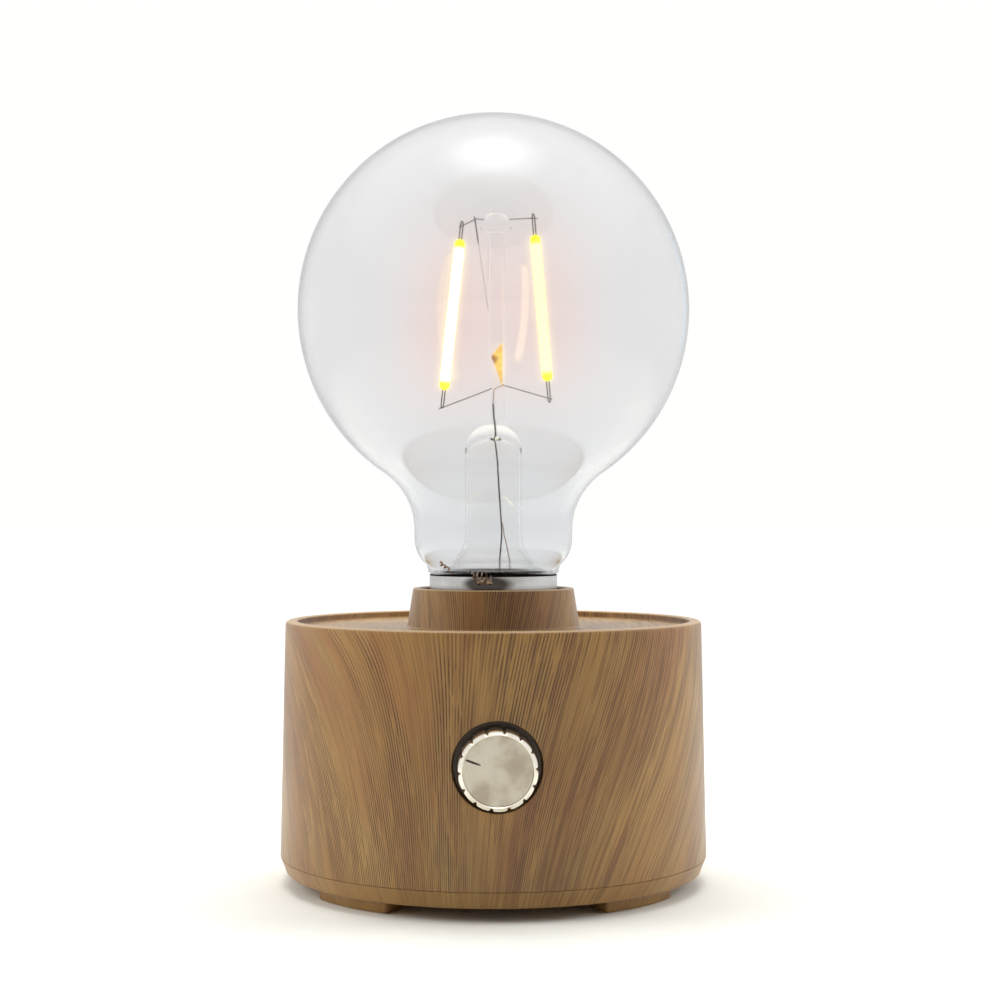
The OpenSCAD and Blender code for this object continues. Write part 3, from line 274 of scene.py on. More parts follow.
def film_group():
    """Oak print. Its lines stand upright in front and lean outwards at the sides. A line keeps to
    turn = angle - lean * s * rise * (1 - ease * s * rise), where s is the sine of the angle round
    the axis, counted from a little left of the front, and rise the height over the middle of the
    drum or collar. The lines are a sine of that turn, a whole number of them round the axis, pushed
    aside by noise stretched along them. Faces that look up or down have straight grain that runs
    front to back."""
    tree = bpy.data.node_groups.new("oak_print", "ShaderNodeTree")
    face = tree.interface
    for key, value in (("Lean", 0.0165), ("Fine Lines", 1.0), ("Bands", 1.0)):
        face.new_socket(key, in_out="INPUT", socket_type="NodeSocketFloat").default_value = value
    face.new_socket("Color", in_out="OUTPUT", socket_type="NodeSocketColor")
    for key in ("Roughness", "Height"):
        face.new_socket(key, in_out="OUTPUT", socket_type="NodeSocketFloat")
    given = tree.nodes.new("NodeGroupInput").outputs
    result = tree.nodes.new("NodeGroupOutput").inputs

    place = put(tree, "VectorMath", {0: put(tree, "TexCoord").outputs["Object"],
                                     1: (1000, 1000, 1000)}, operation="MULTIPLY").outputs[0]
    x, y, z = put(tree, "SeparateXYZ", {0: place}).outputs
    angle = calc(tree, "ARCTAN2", x, calc(tree, "MULTIPLY", y, -1.0))
    radius = calc(tree, "SQRT", calc(tree, "ADD", calc(tree, "MULTIPLY", x, x),
                                     calc(tree, "MULTIPLY", y, y)))
    on_drum = ramp(tree, radius, 20.0, 30.0)

    def by_part(drum, collar):
        """Number that is one value on the drum and another one on the collar."""
        return calc(tree, "MULTIPLY_ADD", on_drum, drum - collar, collar)

    print_r, middle_z, line_count = by_part(43.0, 17.0), by_part(28.0, 55.5), by_part(540.0, 215.0)
    lean_from, ease = 0.18, 0.015
    lean = calc(tree, "MULTIPLY", given["Lean"], by_part(1.0, 2.0))
    rise = calc(tree, "SUBTRACT", z, middle_z)
    aside = calc(tree, "MULTIPLY", calc(tree, "SINE", calc(tree, "ADD", angle, lean_from)), rise)
    bend = calc(tree, "MULTIPLY_ADD", aside, -ease, 1.0)
    leant = calc(tree, "MULTIPLY", calc(tree, "MULTIPLY", lean, aside), bend)
    turn = calc(tree, "SUBTRACT", angle, leant)
    side_x = calc(tree, "MULTIPLY", print_r, calc(tree, "SINE", turn))
    side_y = calc(tree, "MULTIPLY", print_r, calc(tree, "COSINE", turn))
    upright = put(tree, "CombineXYZ", {0: side_x, 1: side_y, 2: z}).outputs[0]
    flat = put(tree, "CombineXYZ", {0: x, 1: z, 2: y}).outputs[0]
    facing = put(tree, "SeparateXYZ", {0: put(tree, "TexCoord").outputs["Normal"]}).outputs["Z"]
    level = ramp(tree, calc(tree, "ABSOLUTE", facing), 0.75, 0.85)
    grain = put(tree, "Mix", data_type="VECTOR")
    for key, socket in (("Factor_Float", level), ("A_Vector", upright), ("B_Vector", flat)):
        tree.links.new(socket, next(s for s in grain.inputs if s.identifier == key))
    grain = next(s for s in grain.outputs if s.identifier == "Result_Vector")

    def streaks(across, along, detail=3.0, rough=0.55, shift=0.0):
        """Noise with so many features per millimetre across and along the grain."""
        stretched = put(tree, "VectorMath", {0: grain, 1: (across, across, along),
                                             2: (shift, shift, shift)}, operation="MULTIPLY_ADD")
        return put(tree, "TexNoise", {"Vector": stretched.outputs[0], "Scale": 1.0,
                                      "Detail": detail, "Roughness": rough}).outputs["Fac"]

    broad = ramp(tree, streaks(0.085, 0.012, 3.0), 0.38, 0.62)
    red = ramp(tree, streaks(0.13, 0.03, 2.0, shift=40.0), 0.5, 0.66)
    pale = ramp(tree, streaks(0.16, 0.02, 2.0, shift=73.0), 0.5, 0.7)
    coarse = ramp(tree, streaks(1.6, 0.055, 3.0, 0.5, 90.0), 0.49, 0.58)
    bundles = ramp(tree, streaks(0.16, 0.03, 2.0, shift=15.0), 0.36, 0.6)
    breaks = ramp(tree, streaks(1.1, 0.14, 2.0, 0.6, 60.0), 0.3, 0.52)

    # Fine lines: about 0.5 mm apart, strongest left of the middle, coarser streaks right of it
    radians_per_mm = 11.0
    wander = calc(tree, "MULTIPLY", streaks(0.35, 0.03, 2.0, shift=30.0), 9.0)
    on_side = calc(tree, "SINE", calc(tree, "ADD", calc(tree, "MULTIPLY", turn, line_count), wander))
    on_top = calc(tree, "SINE", calc(tree, "ADD", calc(tree, "MULTIPLY", x, radians_per_mm), wander))
    wave = calc(tree, "ADD", calc(tree, "MULTIPLY", on_side, calc(tree, "SUBTRACT", 1.0, level)),
                calc(tree, "MULTIPLY", on_top, level))
    fine = calc(tree, "MULTIPLY", ramp(tree, wave, -0.1, 0.9), breaks)
    left = ramp(tree, angle, -0.1, 0.4, 1.0, 0.75)
    lines = calc(tree, "MULTIPLY", calc(tree, "MULTIPLY", fine, left),
                 calc(tree, "MULTIPLY_ADD", bundles, 0.75, 0.25))
    lines = calc(tree, "MULTIPLY", lines, given["Fine Lines"])
    lines = calc(tree, "MULTIPLY", lines, calc(tree, "MULTIPLY_ADD", level, -0.6, 1.0))
    thick = calc(tree, "MULTIPLY", coarse, ramp(tree, angle, -0.35, 0.3, 0.35, 0.85))

    # Painted highlight: a pale band along the upper edges of drum and collar. Painted shade: the
    # knob's pocket is painted dark brown
    pocket_height, shade_within, shade_to, front = 28.5, 8.42, 8.5, -30.0
    # Painted highlight: the upper edges of drum and collar are painted pale
    painted_rim_highlight = ramp(tree, calc(tree, "SUBTRACT", z, by_part(52.85, 59.4)), 0.0, 0.2)
    seen_flat = put(tree, "CombineXYZ", {0: x, 2: z}).outputs[0]
    from_knob = put(tree, "VectorMath", {0: seen_flat, 1: (0, 0, pocket_height)}, operation="DISTANCE")
    in_pocket = ramp(tree, from_knob.outputs["Value"], shade_within, shade_to, 1.0, 0.0)
    # Painted shade: the knob's pocket is painted dark brown, fading out just beyond its edge
    painted_pocket_shade = calc(tree, "MULTIPLY", in_pocket, calc(tree, "LESS_THAN", y, front))

    banded = calc(tree, "MULTIPLY", broad, given["Bands"])
    colour = blend(tree, banded, tone(169, 128, 67), tone(150, 108, 53))
    # Painted light: faces that look up or down are painted a lighter tan, as a deck lit from above
    for share, strength, ink in (
            (pale, 0.4, tone(170, 140, 81)), (red, 0.4, tone(152, 96, 49)),
            (level, 0.4, tone(206, 168, 110)), (thick, 0.62, tone(98, 58, 22)),
            (lines, 1.0, tone(58, 31, 9)), (painted_rim_highlight, 0.55, tone(214, 180, 130)),
            (painted_pocket_shade, 0.85, tone(58, 38, 20))):
        colour = blend(tree, calc(tree, "MULTIPLY", share, strength), colour, ink)
    tree.links.new(colour, result["Color"])
    tree.links.new(calc(tree, "MULTIPLY_ADD", lines, 0.12, 0.38), result["Roughness"])
    tree.links.new(calc(tree, "MULTIPLY", lines, -1.0), result["Height"])
    return tree


oak_print = film_group()


def film(name, fine=1.0, bands=1.0):
    """Plastic under the oak print, satin. The print's lines are pressed in very lightly."""
    material, tree, shader = finish_of(name, IOR=1.45, Coat_Weight=0.4, Coat_Roughness=0.3)
    group = tree.nodes.new("ShaderNodeGroup")
    group.node_tree = oak_print
    group.inputs["Fine Lines"].default_value = fine
    group.inputs["Bands"].default_value = bands
    tree.links.new(group.outputs["Color"], shader.inputs["Base Color"])
    tree.links.new(group.outputs["Roughness"], shader.inputs["Roughness"])
    bump = put(tree, "Bump", {"Height": group.outputs["Height"], "Strength": 0.3,
                              "Distance": 0.05 * MM})
    tree.links.new(bump.outputs["Normal"], shader.inputs["Normal"])
    return material


drum_film = film("oak_film")
edge_film = film("oak_film_on_edges", fine=0.45, bands=0.6)

inner, outer = foot_r - foot_w, foot_r
section = profile((inner, foot_h), arc(inner + foot_edge, foot_edge, foot_edge, 180, 270, 5),
                  arc(outer - foot_edge, foot_edge, foot_edge, 270, 360, 5), (outer, foot_h),
                  (inner, foot_h))
middle = section.mean(0)
# Both ends are rounded: the section draws in there, by these shares at these angles from the end
end_turn, end_share, steps_between = np.array([0, 0, 0.004, 0.012]), np.array([1, 0.12, 0.04, 0]), 27
draw_in = np.concatenate([end_share, np.zeros(steps_between), end_share[::-1]])[:, None]
pads = []
for side in (45, 135, 225, 315):
    a = np.radians(np.linspace(side - foot_arc / 2, side + foot_arc / 2, steps_between + 2))
    a = np.concatenate([a[0] + end_turn, a[1:-1], a[-1] - end_turn[::-1]])[:, None]
    r = section[:, 0] + draw_in * (middle[0] - section[:, 0])
    z = section[:, 1] + draw_in * (foot_h - section[:, 1]) * 0.5
    pads.append(surface(np.stack([r * np.cos(a), r * np.sin(a), z], -1), False))
piece("foot_pads", pads, edge_film, "base", "wood_film", ["feet"], crease=50)

# ---------------------------------------------------------------- Base plate and battery door
# One moulding closes the drum from below, with the battery door hinged into it. Both wear the film.
# Four pan-head screws hold the plate, sunk into its underside.

def finish_nodes(*pairs):
    """Gives each material to its CAD nodes."""
    for material, names in pairs:
        for name in names:
            nodes[name].data.materials[0] = material


finish_nodes((edge_film, ("base_plate", "battery_door")))


def speckle_group():
    """Fine uneven colour and shine, as on moulded plastic, plated or cast parts. One noise mixes
    the two colours and moves the roughness, and a finer one gives the height for the bump."""
    tree = bpy.data.node_groups.new("uneven_finish", "ShaderNodeTree")
    for key, value in (("First", (1, 1, 1, 1)), ("Second", (0.5, 0.5, 0.5, 1))):
        tree.interface.new_socket(key, in_out="INPUT", socket_type="NodeSocketColor").default_value = value
    for key, value in (("Scale", 800.0), ("Rough Low", 0.3), ("Rough High", 0.5)):
        tree.interface.new_socket(key, in_out="INPUT", socket_type="NodeSocketFloat").default_value = value
    tree.interface.new_socket("Color", in_out="OUTPUT", socket_type="NodeSocketColor")
    for key in ("Roughness", "Height"):
        tree.interface.new_socket(key, in_out="OUTPUT", socket_type="NodeSocketFloat")
    given = tree.nodes.new("NodeGroupInput").outputs
    result = tree.nodes.new("NodeGroupOutput").inputs
    place = put(tree, "TexCoord").outputs["Object"]
    patch = put(tree, "TexNoise", {"Vector": place, "Scale": given["Scale"], "Detail": 4.0,
                                   "Roughness": 0.6}).outputs["Fac"]
    fine = put(tree, "TexNoise", {"Vector": place, "Scale": calc(tree, "MULTIPLY", given["Scale"], 4.0),
                                  "Detail": 2.0}).outputs["Fac"]
    tree.links.new(blend(tree, ramp(tree, patch, 0.35, 0.65), given["First"], given["Second"]),
                   result["Color"])
    span = calc(tree, "SUBTRACT", given["Rough High"], given["Rough Low"])
    tree.links.new(calc(tree, "MULTIPLY_ADD", patch, span, given["Rough Low"]), result["Roughness"])
    tree.links.new(fine, result["Height"])
    return tree


uneven_finish = speckle_group()


def uneven(name, first, second, scale=800.0, rough=(0.3, 0.5), bump=0.1, **shader_values):
    """Material whose colour and shine are uneven, in two named tones."""
    material, tree, shader = finish_of(name, **shader_values)
    group = tree.nodes.new("ShaderNodeGroup")
    group.node_tree = uneven_finish
    for key, value in (("First", first), ("Second", second), ("Scale", scale),
                       ("Rough Low", rough[0]), ("Rough High", rough[1])):
        group.inputs[key].default_value = value
    tree.links.new(group.outputs["Color"], shader.inputs["Base Color"])
    tree.links.new(group.outputs["Roughness"], shader.inputs["Roughness"])
    dent = put(tree, "Bump", {"Height": group.outputs["Height"], "Strength": bump,
                              "Distance": 0.05 * MM})
    tree.links.new(dent.outputs["Normal"], shader.inputs["Normal"])
    return material


zinc = uneven("zinc_plating", tone(186, 188, 190), tone(150, 152, 156), Metallic=1.0)
finish_nodes((zinc, ("base_screws",)))

# ---------------------------------------------------------------- Drum
# The housing is one thick-walled plastic moulding: drum wall, raised rim, sunk deck and collar.
# A round pocket in its front takes the knob, and a flat pad behind that pocket the dimmer.

drum_low, rim_z, deck_z, deck_under, collar_z = 5.8, 53.2, 51.8, 49.6, 59.7
drum_r, rim_r, drum_in, wall, rim_round = 43.45, 42.4, 41.05, 2.4, 0.8
collar_in, collar_top, collar_foot, root_round = 15.0, 16.5, 17.6, 0.5
knob_z, pocket_r, pocket_at, pad_r, pad_at, shaft_hole = 28.5, 8.4, 40.0, 10.4, 37.5, 3.6
pocket_lip, pocket_round, ring_r, draft_z = 0.15, 0.25, 6.0, 5.7
edge_round, deck_round, collar_round, inner_bevel, deck_rings = 0.35, 0.4, 0.25, 1.5, (34, 26)
columns, window_columns, window_rows, window_h = 240, 24, 24, 13.4


def wall_radius(z):
    """Outer radius of the drum, which draws in evenly from its foot to its rim."""
    return drum_r - (drum_r - rim_r) * (z - draft_z) / (rim_z - draft_z)


def wall_grid(radius, heights):
    """Upright wall round the axis as a grid, without the window in its front that the port fills."""
    a = np.linspace(0, 2 * np.pi, columns, endpoint=False)
    r = radius(heights)[:, None]
    points = np.stack([r * np.sin(a), -r * np.cos(a), heights[:, None] + 0 * a], -1)
    faces = grid_faces(len(heights), columns).reshape(len(heights) - 1, columns, 4)
    low, high = (np.argmin(abs(heights - (knob_z + s * window_h))) for s in (-1, 1))
    half = window_columns // 2
    keep = np.ones(faces.shape[:2], bool)
    keep[low:high, :half] = keep[low:high, columns - half:] = False
    return points.reshape(-1, 3), faces[keep]


def port(radius, circle_r, rings=9):
    """Patch between the border of the wall's window and a circle round the knob's axis. Each ring
    of points lies part of the way from the border, in angle and height, and on the wall itself."""
    step = 2 * np.pi / columns
    side = np.arange(window_columns) - window_columns / 2
    rows = np.linspace(-window_h, window_h, window_rows + 1)[:-1]
    half_a, flip = window_columns / 2 * step, np.ones(window_columns)
    border_a = np.concatenate([side * step, half_a * flip, -side * step, -half_a * flip])
    border_z = np.concatenate([-window_h * flip, rows, window_h * flip, -rows])
    way = np.arctan2(border_z, border_a * radius(knob_z))
    circle_x, circle_z = circle_r * np.cos(way), circle_r * np.sin(way)
    circle_a = np.arcsin(circle_x / radius(knob_z + circle_z))
    share = np.linspace(0, 1, rings)[:, None] ** 0.8
    a = border_a + share * (circle_a - border_a)
    z = knob_z + border_z + share * (circle_z - border_z)
    return np.stack([radius(z) * np.sin(a), -radius(z) * np.cos(a), z], -1), way


def front_rings(way, steps):
    """Rings round the knob's axis, at pairs of radius and distance from the lamp's axis."""
    r, depth = np.array(steps, float).T[:, :, None]
    return np.stack([r * np.cos(way), -depth + 0 * way, knob_z + r * np.sin(way)], -1)


in_window = np.linspace(knob_z - window_h, knob_z + window_h, window_rows + 1)
heights = np.concatenate([np.linspace(drum_low, in_window[0], 9)[:-1], in_window,
                          np.linspace(in_window[-1], rim_z - rim_round, 10)[1:]])
heights_in = np.concatenate([np.linspace(drum_low, in_window[0], 9)[:-1], in_window,
                             np.linspace(in_window[-1], deck_under - inner_bevel, 6)[1:]])
inner_radius = lambda z: drum_in + 0 * np.asarray(z, float)
outer_patch, way = port(wall_radius, pocket_r + pocket_lip)
inner_patch, way_in = port(inner_radius, pad_r)
lip_turn = np.radians(np.linspace(0, 90, 5))[:, None]
lip_r = pocket_r + pocket_lip * (1 - np.sin(lip_turn))
lip = np.stack([lip_r * np.cos(way), outer_patch[-1, :, 1] + pocket_lip * (1 - np.cos(lip_turn)),
                knob_z + lip_r * np.sin(way)], -1)
bore = front_rings(way, [(pocket_r, pocket_at + 0.9), (pocket_r, pocket_at + pocket_round),
                         (pocket_r - pocket_round, pocket_at), (ring_r, pocket_at),
                         (shaft_hole, pocket_at)])
pocket_side = np.concatenate([outer_patch, lip[1:], bore])
pad_side = np.concatenate([inner_patch, front_rings(way_in, [(pad_r, pad_at), (shaft_hole, pad_at)])])
shaft_bore = np.stack([pocket_side[-1], pad_side[-1]])

top = turned(profile(
    (wall_radius(heights[-1]), heights[-1]),
    arc(rim_r - rim_round, rim_z - rim_round, rim_round, 8, 90, 8),
    arc(rim_r - wall + edge_round, rim_z - edge_round, edge_round, 90, 180, 5),
    arc(rim_r - wall - deck_round, deck_z + deck_round, deck_round, 0, -90, 5),
    np.array([[r, deck_z] for r in deck_rings]),
    arc(collar_foot + root_round, deck_z + root_round, root_round, 270, 187, 5),
    (collar_top, collar_z - edge_round),
    arc(collar_top - edge_round, collar_z - edge_round, edge_round, 10, 90, 5),
    (collar_in + collar_round, collar_z), (collar_in, collar_z - collar_round), (collar_in, deck_under),
    (sum(deck_rings) / 2, deck_under), (drum_in - inner_bevel, deck_under),
    (drum_in, deck_under - inner_bevel)), columns)
foot_ring = turned(profile((drum_in, drum_low), (wall_radius(drum_low), drum_low)), columns)
piece("drum_shell", [wall_grid(wall_radius, heights), wall_grid(inner_radius, heights_in),
                     surface(pocket_side), surface(pad_side), surface(shaft_bore), top, foot_ring],
      drum_film, "base", "wood_film", ["housing"], crease=40)


def post_at(x, y, outline, sides=32):
    """Small turned post that stands at a place in plan."""
    points, faces = turned(outline, sides)
    return points + np.array([x, y, 0]), faces


# Posts inside: four take the base screws, and two blind ones under the deck the holder's screws
boss_r, boss_bore, boss_low, boss_top, boss_roof, boss_at = 3, 1.42, 8.3, 16.9, 0.4, 36.05
ear_r, ear_bore, ear_low, ear_roof, ear_at, sunk = 3.2, 1.32, 46.7, 1, 18.4, 0.3
boss = profile((0, boss_top - boss_roof), (boss_bore, boss_top - boss_roof), (boss_bore, boss_low),
               (boss_r, boss_low), (boss_r, boss_top), (0, boss_top))
ear = profile((0, deck_z - ear_roof), (ear_bore, deck_z - ear_roof), (ear_bore, ear_low),
              (ear_r, ear_low), (ear_r, deck_under + sunk), (0, deck_under + sunk))
posts = [post_at(boss_at * c, boss_at * s, boss) for c, s in ((1, 0), (0, 1), (-1, 0), (0, -1))]
posts += [post_at(x, 0, ear) for x in (-ear_at, ear_at)]
piece("drum_posts", posts, drum_film, "base", "wood_film")

# ---------------------------------------------------------------- Battery tray, cells and contacts
# A dark moulded tray is screwed to the plate and holds three sleeved cells over the door. Nickel
# springs and contact plates link them, and two insulated wires run to the board.

dark_plastic = uneven("dark_plastic", tone(52, 52, 54), tone(36, 36, 38), rough=(0.45, 0.65))
nickel = uneven("nickel_plating", tone(206, 203, 194), tone(176, 172, 162), 500.0, (0.2, 0.4), Metallic=1.0)
sleeve = uneven("cell_sleeve", tone(44, 104, 74), tone(34, 86, 60), 120.0, (0.2, 0.32), 0.03)
red_sheath = uneven("red_wire_sheath", tone(176, 34, 30), tone(150, 24, 24), 300.0, (0.4, 0.6))
black_sheath = uneven("black_wire_sheath", tone(34, 34, 36), tone(22, 22, 24), 300.0, (0.4, 0.6))

finish_nodes(
    (dark_plastic, ("battery_tray",)), (zinc, ("tray_screws",)), (sleeve, ("battery_cells",)),
    (nickel, ("battery_springs", "battery_contacts")),
    (red_sheath, ("supply_wire_red", "lamp_wire_red")),
    (black_sheath, ("supply_wire_black", "lamp_wire_black")))

# ---------------------------------------------------------------- Rotary dimmer and circuit board
# A bought dimmer is clamped to the pad behind the pocket by its washer and nut. Its pins carry an
# upright green board with a wound inductor, capacitors and chips.

brass = uneven("brass", tone(205, 170, 104), tone(178, 140, 78), 600.0, (0.22, 0.4), Metallic=1.0)
ivory_plastic = uneven("ivory_plastic", tone(232, 226, 208), tone(220, 212, 192), 400.0, (0.4, 0.55))
copper_coil = uneven("copper_winding", tone(176, 98, 54), tone(120, 62, 34), 2500.0, (0.25, 0.45), 0.6)

board_green, tree, shader = finish_of("solder_mask", Roughness=0.35)
place = put(tree, "TexCoord").outputs["Object"]
tracks = put(tree, "TexBrick", {"Vector": put(tree, "Mapping", {
    "Vector": place, "Rotation": (math.pi / 2, 0, 0)}).outputs[0], "Scale": 400.0,
    "Color1": tone(22, 84, 46), "Color2": tone(30, 98, 54), "Mortar": tone(52, 128, 74),
    "Mortar Size": 0.03})
tree.links.new(tracks.outputs["Color"], shader.inputs["Base Color"])

finish_nodes(
    (dark_plastic, ("dimmer_body", "board_chips", "board_capacitors")),
    (brass, ("dimmer_bushing", "knob_sleeve")), (ivory_plastic, ("dimmer_wiper",)),
    (zinc, ("dimmer_washer", "dimmer_nut", "dimmer_shaft")),
    (nickel, ("dimmer_pins", "board_terminals")), (copper_coil, ("board_inductor",)),
    (board_green, ("circuit_board", "bulb_driver")))

# ---------------------------------------------------------------- Knob
# Turned from aluminium and pressed on the dimmer's shaft: fourteen grooves round its side, a bright
# bevel, and a spun face let into its front with a dark pointer on it.

knob_r, knob_back, knob_front, bevel, groove_deep, groove_half = 7.3, 40.9, 48.69, 0.6, 0.42, 0.26
grooves, first_groove, face_r, face_front, face_back = 14, math.radians(3.3), 6.4, 48.4, 48.02
sleeve_r, sleeve_end, cavity_r, cavity_end, foot_bevel, land_round = 4.2, 47.3, 6.1, 43.9, 0.2, 0.05
seat_gap, seat_deep, turn_points = 0.02, 0.7, grooves * 30


def fluted(steps):
    """Rings round the knob's axis from radius, distance from the lamp's axis, and share of the
    grooves: a groove takes exp(-(s / half)^2) of its depth at arc distance s from its middle, and
    each land between two grooves is a little round."""
    r, depth, share = np.array(steps, float).T[:, :, None]
    way = np.linspace(0, 2 * np.pi, turn_points, endpoint=False)
    off = (way - first_groove + np.pi / grooves) % (2 * np.pi / grooves) - np.pi / grooves
    cut = groove_deep * np.exp(-(knob_r * off / groove_half) ** 2)
    cut += land_round * (np.cos(grooves * off) + 1) / 2
    r = r - share * cut
    return surface(np.stack([r * np.cos(way), -depth + 0 * way, knob_z + r * np.sin(way)], -1))


body_rings = [(0, sleeve_end, 0), (sleeve_r, sleeve_end, 0), (sleeve_r, cavity_end, 0),
              (cavity_r, cavity_end, 0), (cavity_r, knob_back + foot_bevel, 0),
              (cavity_r + foot_bevel, knob_back, 0), (knob_r - foot_bevel, knob_back, 0.6),
              (knob_r + land_round, knob_back + foot_bevel, 1), (knob_r, knob_back + 0.5, 1),
              (knob_r, 44, 1), (knob_r, 46, 1), (knob_r, knob_front - bevel, 1),
              (knob_r - 0.08, knob_front - bevel + 0.16, 1), (knob_r - 0.3, knob_front - 0.32, 0.8),
              (knob_r - bevel + 0.02, knob_front - 0.08, 0.1), (knob_r - bevel - 0.1, knob_front, 0),
              (face_r + 0.12, knob_front, 0), (face_r + seat_gap, knob_front - 0.1, 0),
              (face_r + seat_gap, knob_front - seat_deep, 0), (0, knob_front - seat_deep, 0)]


def turned_metal(name, bright, dull, rough):
    """Turned aluminium: cutting marks that run round the knob's axis, and smudges that dull it."""
    material, tree, shader = finish_of(name, Metallic=1.0, Anisotropic=0.3)
    place = put(tree, "TexCoord").outputs["Object"]
    x, y, z = put(tree, "SeparateXYZ", {0: place}).outputs
    out = calc(tree, "SQRT", calc(tree, "ADD", calc(tree, "MULTIPLY", x, x),
                                  calc(tree, "POWER", calc(tree, "SUBTRACT", z, knob_z * MM), 2.0)))
    # Noise read along the radius and the axis only
    marks = put(tree, "TexNoise", {"Vector": put(tree, "CombineXYZ", {0: out, 1: y}).outputs[0],
                                   "Scale": 5200.0, "Detail": 3.0}).outputs["Fac"]
    smudge = put(tree, "TexNoise", {"Vector": place, "Scale": 200.0, "Detail": 3.0,
                                    "Roughness": 0.5}).outputs["Fac"]
    tree.links.new(blend(tree, ramp(tree, smudge, 0.4, 0.7), bright, dull), shader.inputs["Base Color"])
    tree.links.new(calc(tree, "MULTIPLY_ADD", smudge, 0.22, rough), shader.inputs["Roughness"])
    dent = put(tree, "Bump", {"Height": marks, "Strength": 0.16, "Distance": 0.02 * MM})
    tree.links.new(dent.outputs["Normal"], shader.inputs["Normal"])
    return material


# Painted light: the side and bevel get a lighter tone than the face, for the lamps the side catches. The two
# finishes also differ in roughness.
side_metal = turned_metal("turned_aluminium_painted_lighter", tone(255, 250, 236), tone(244, 236, 216), 0.12)
dial_metal = turned_metal("spun_aluminium", tone(206, 198, 180), tone(178, 166, 148), 0.2)
piece("knob_body", [fluted(body_rings)], side_metal, "knob", "knob_metal", ["knob"], crease=28)

# The face is dished very slightly towards its middle
dial_rings = [(0, face_back, 0), (face_r - 0.02, face_back, 0), (face_r, face_back + 0.04, 0),
              (face_r, face_front - 0.08, 0), (face_r - 0.1, face_front, 0),
              (5.2, face_front - 0.01, 0), (3.5, face_front - 0.03, 0), (1.5, face_front - 0.04, 0),
              (0, face_front - 0.04, 0)]
piece("knob_dial", [fluted(dial_rings)], dial_metal, "knob", "knob_metal", ["knob_face"], crease=28)

# Pointer: a slim bar, pointed at its inner end, whose top lies just over the dial
pointer_start, pointer_l, pointer_half, pointer_way = 6.2, 3.0, 0.22, math.radians(160)
pointer_back, pointer_front = 48.2, face_front + 0.012
along = np.linspace(0, 1, 12)[:, None]
half = pointer_half * np.sqrt(np.clip(1 - along ** 3, 0, 1)) * (0.55 + 0.45 * np.clip(along * 8, 0, 1))
reach = pointer_start - along * pointer_l
across = np.array([[-1, -1, 1, 1]]) * half
level = np.array([[pointer_back, pointer_front, pointer_front, pointer_back]]) + 0 * along
bar = np.stack([reach * math.cos(pointer_way) - across * math.sin(pointer_way), -level,
                knob_z + reach * math.sin(pointer_way) + across * math.cos(pointer_way)], -1)
ends = [np.stack([e, e[[0, 0, 3, 3]]]) for e in (bar[0], bar[-1])]
pointer_ink = uneven("pointer_ink", tone(66, 56, 44), tone(44, 38, 30), 900.0, (0.4, 0.6))
piece("knob_pointer_bar", [surface(bar)] + [surface(e, False) for e in ends], pointer_ink, "knob",
      "dark_plastic", ["knob_pointer"], crease=40)

# ---------------------------------------------------------------- Lamp holder
# A heat-proof cup sits inside the collar on two ears and is screwed to the deck from below. Its
# brass shell takes the bulb's thread, and a sprung brass tongue meets the bulb's tip.

finish_nodes((ivory_plastic, ("holder_cup",)), (zinc, ("holder_screws",)),
             (brass, ("holder_screw_shell", "holder_centre_contact", "holder_terminals")))

# ---------------------------------------------------------------- Bulb cap
# Pressed nickel-plated brass: a smooth skirt over a rolled screw thread, closed below by a dark
# insulator and a soldered tip. Cement, coloured near black as painted shade, fills it up to the foot
# of the bulb's glass, and a black disc of painted shade closes the gap there.

cap_r, cap_rim, skirt_in, skirt_low, thread_low = 13.1, 62.3, 12.75, 58.1, 40.5
pitch, thread_deep, fade_below, fade_above = 3.629, 0.85, 1.5, 1.8
cap_thick, swage, lip_round, tip_in, tip_edge = 0.3, 0.6, 0.18, 1.6, 0.4
cap_wall = cap_r - thread_deep - cap_thick
rows = np.linspace(thread_low, skirt_low, 90)
fade_low = np.minimum(1, (rows - thread_low) / fade_below)
fade_high = np.minimum(1, (skirt_low - rows) / fade_above)
middle = cap_wall + cap_thick + (cap_r - thread_deep / 2 - cap_wall - cap_thick) * fade_low
middle = cap_r + (middle - cap_r) * fade_high
wave = thread_deep / 2 * np.minimum(fade_low, fade_high)
steps = np.concatenate([
    [(skirt_in, cap_rim, 0), (skirt_in, skirt_low + swage, 0), (cap_wall, skirt_low - swage, 0),
     (cap_wall, thread_low, 0), (cap_wall - tip_in, thread_low - tip_in, 0),
     (cap_wall - tip_in + tip_edge, thread_low - tip_in - 0.3, 0)],
    np.stack([middle, rows, wave], -1),
    [(cap_r, skirt_low + swage, 0), (cap_r, 60.2, 0), (cap_r, cap_rim - 0.15, 0),
     (cap_r - 0.06, cap_rim - 0.04, 0), (cap_r - lip_round, cap_rim, 0), (skirt_in, cap_rim, 0)]])
a = np.linspace(0, 2 * np.pi, 144, endpoint=False)
r = steps[:, :1] + steps[:, 2:] * np.cos(2 * np.pi * steps[:, 1:2] / pitch - a)
cap_points = np.stack([r * np.cos(a), r * np.sin(a), steps[:, 1:2] + 0 * a], -1)

dark_oval_place, dark_oval_spread = (-0.0014, -0.0131, 0.0608), (175, 175, 520)
plated, tree, shader = finish_of("plated_cap", Metallic=1.0)
place = put(tree, "TexCoord").outputs["Object"]
drawn = put(tree, "VectorMath", {0: place, 1: (60, 60, 1400)}, operation="MULTIPLY").outputs[0]
drawn = put(tree, "TexNoise", {"Vector": drawn, "Scale": 1.0, "Detail": 3.0}).outputs["Fac"]
stain = put(tree, "TexNoise", {"Vector": place, "Scale": 180.0, "Detail": 4.0}).outputs["Fac"]
metal = blend(tree, ramp(tree, stain, 0.4, 0.68), tone(216, 216, 214), tone(196, 194, 188))
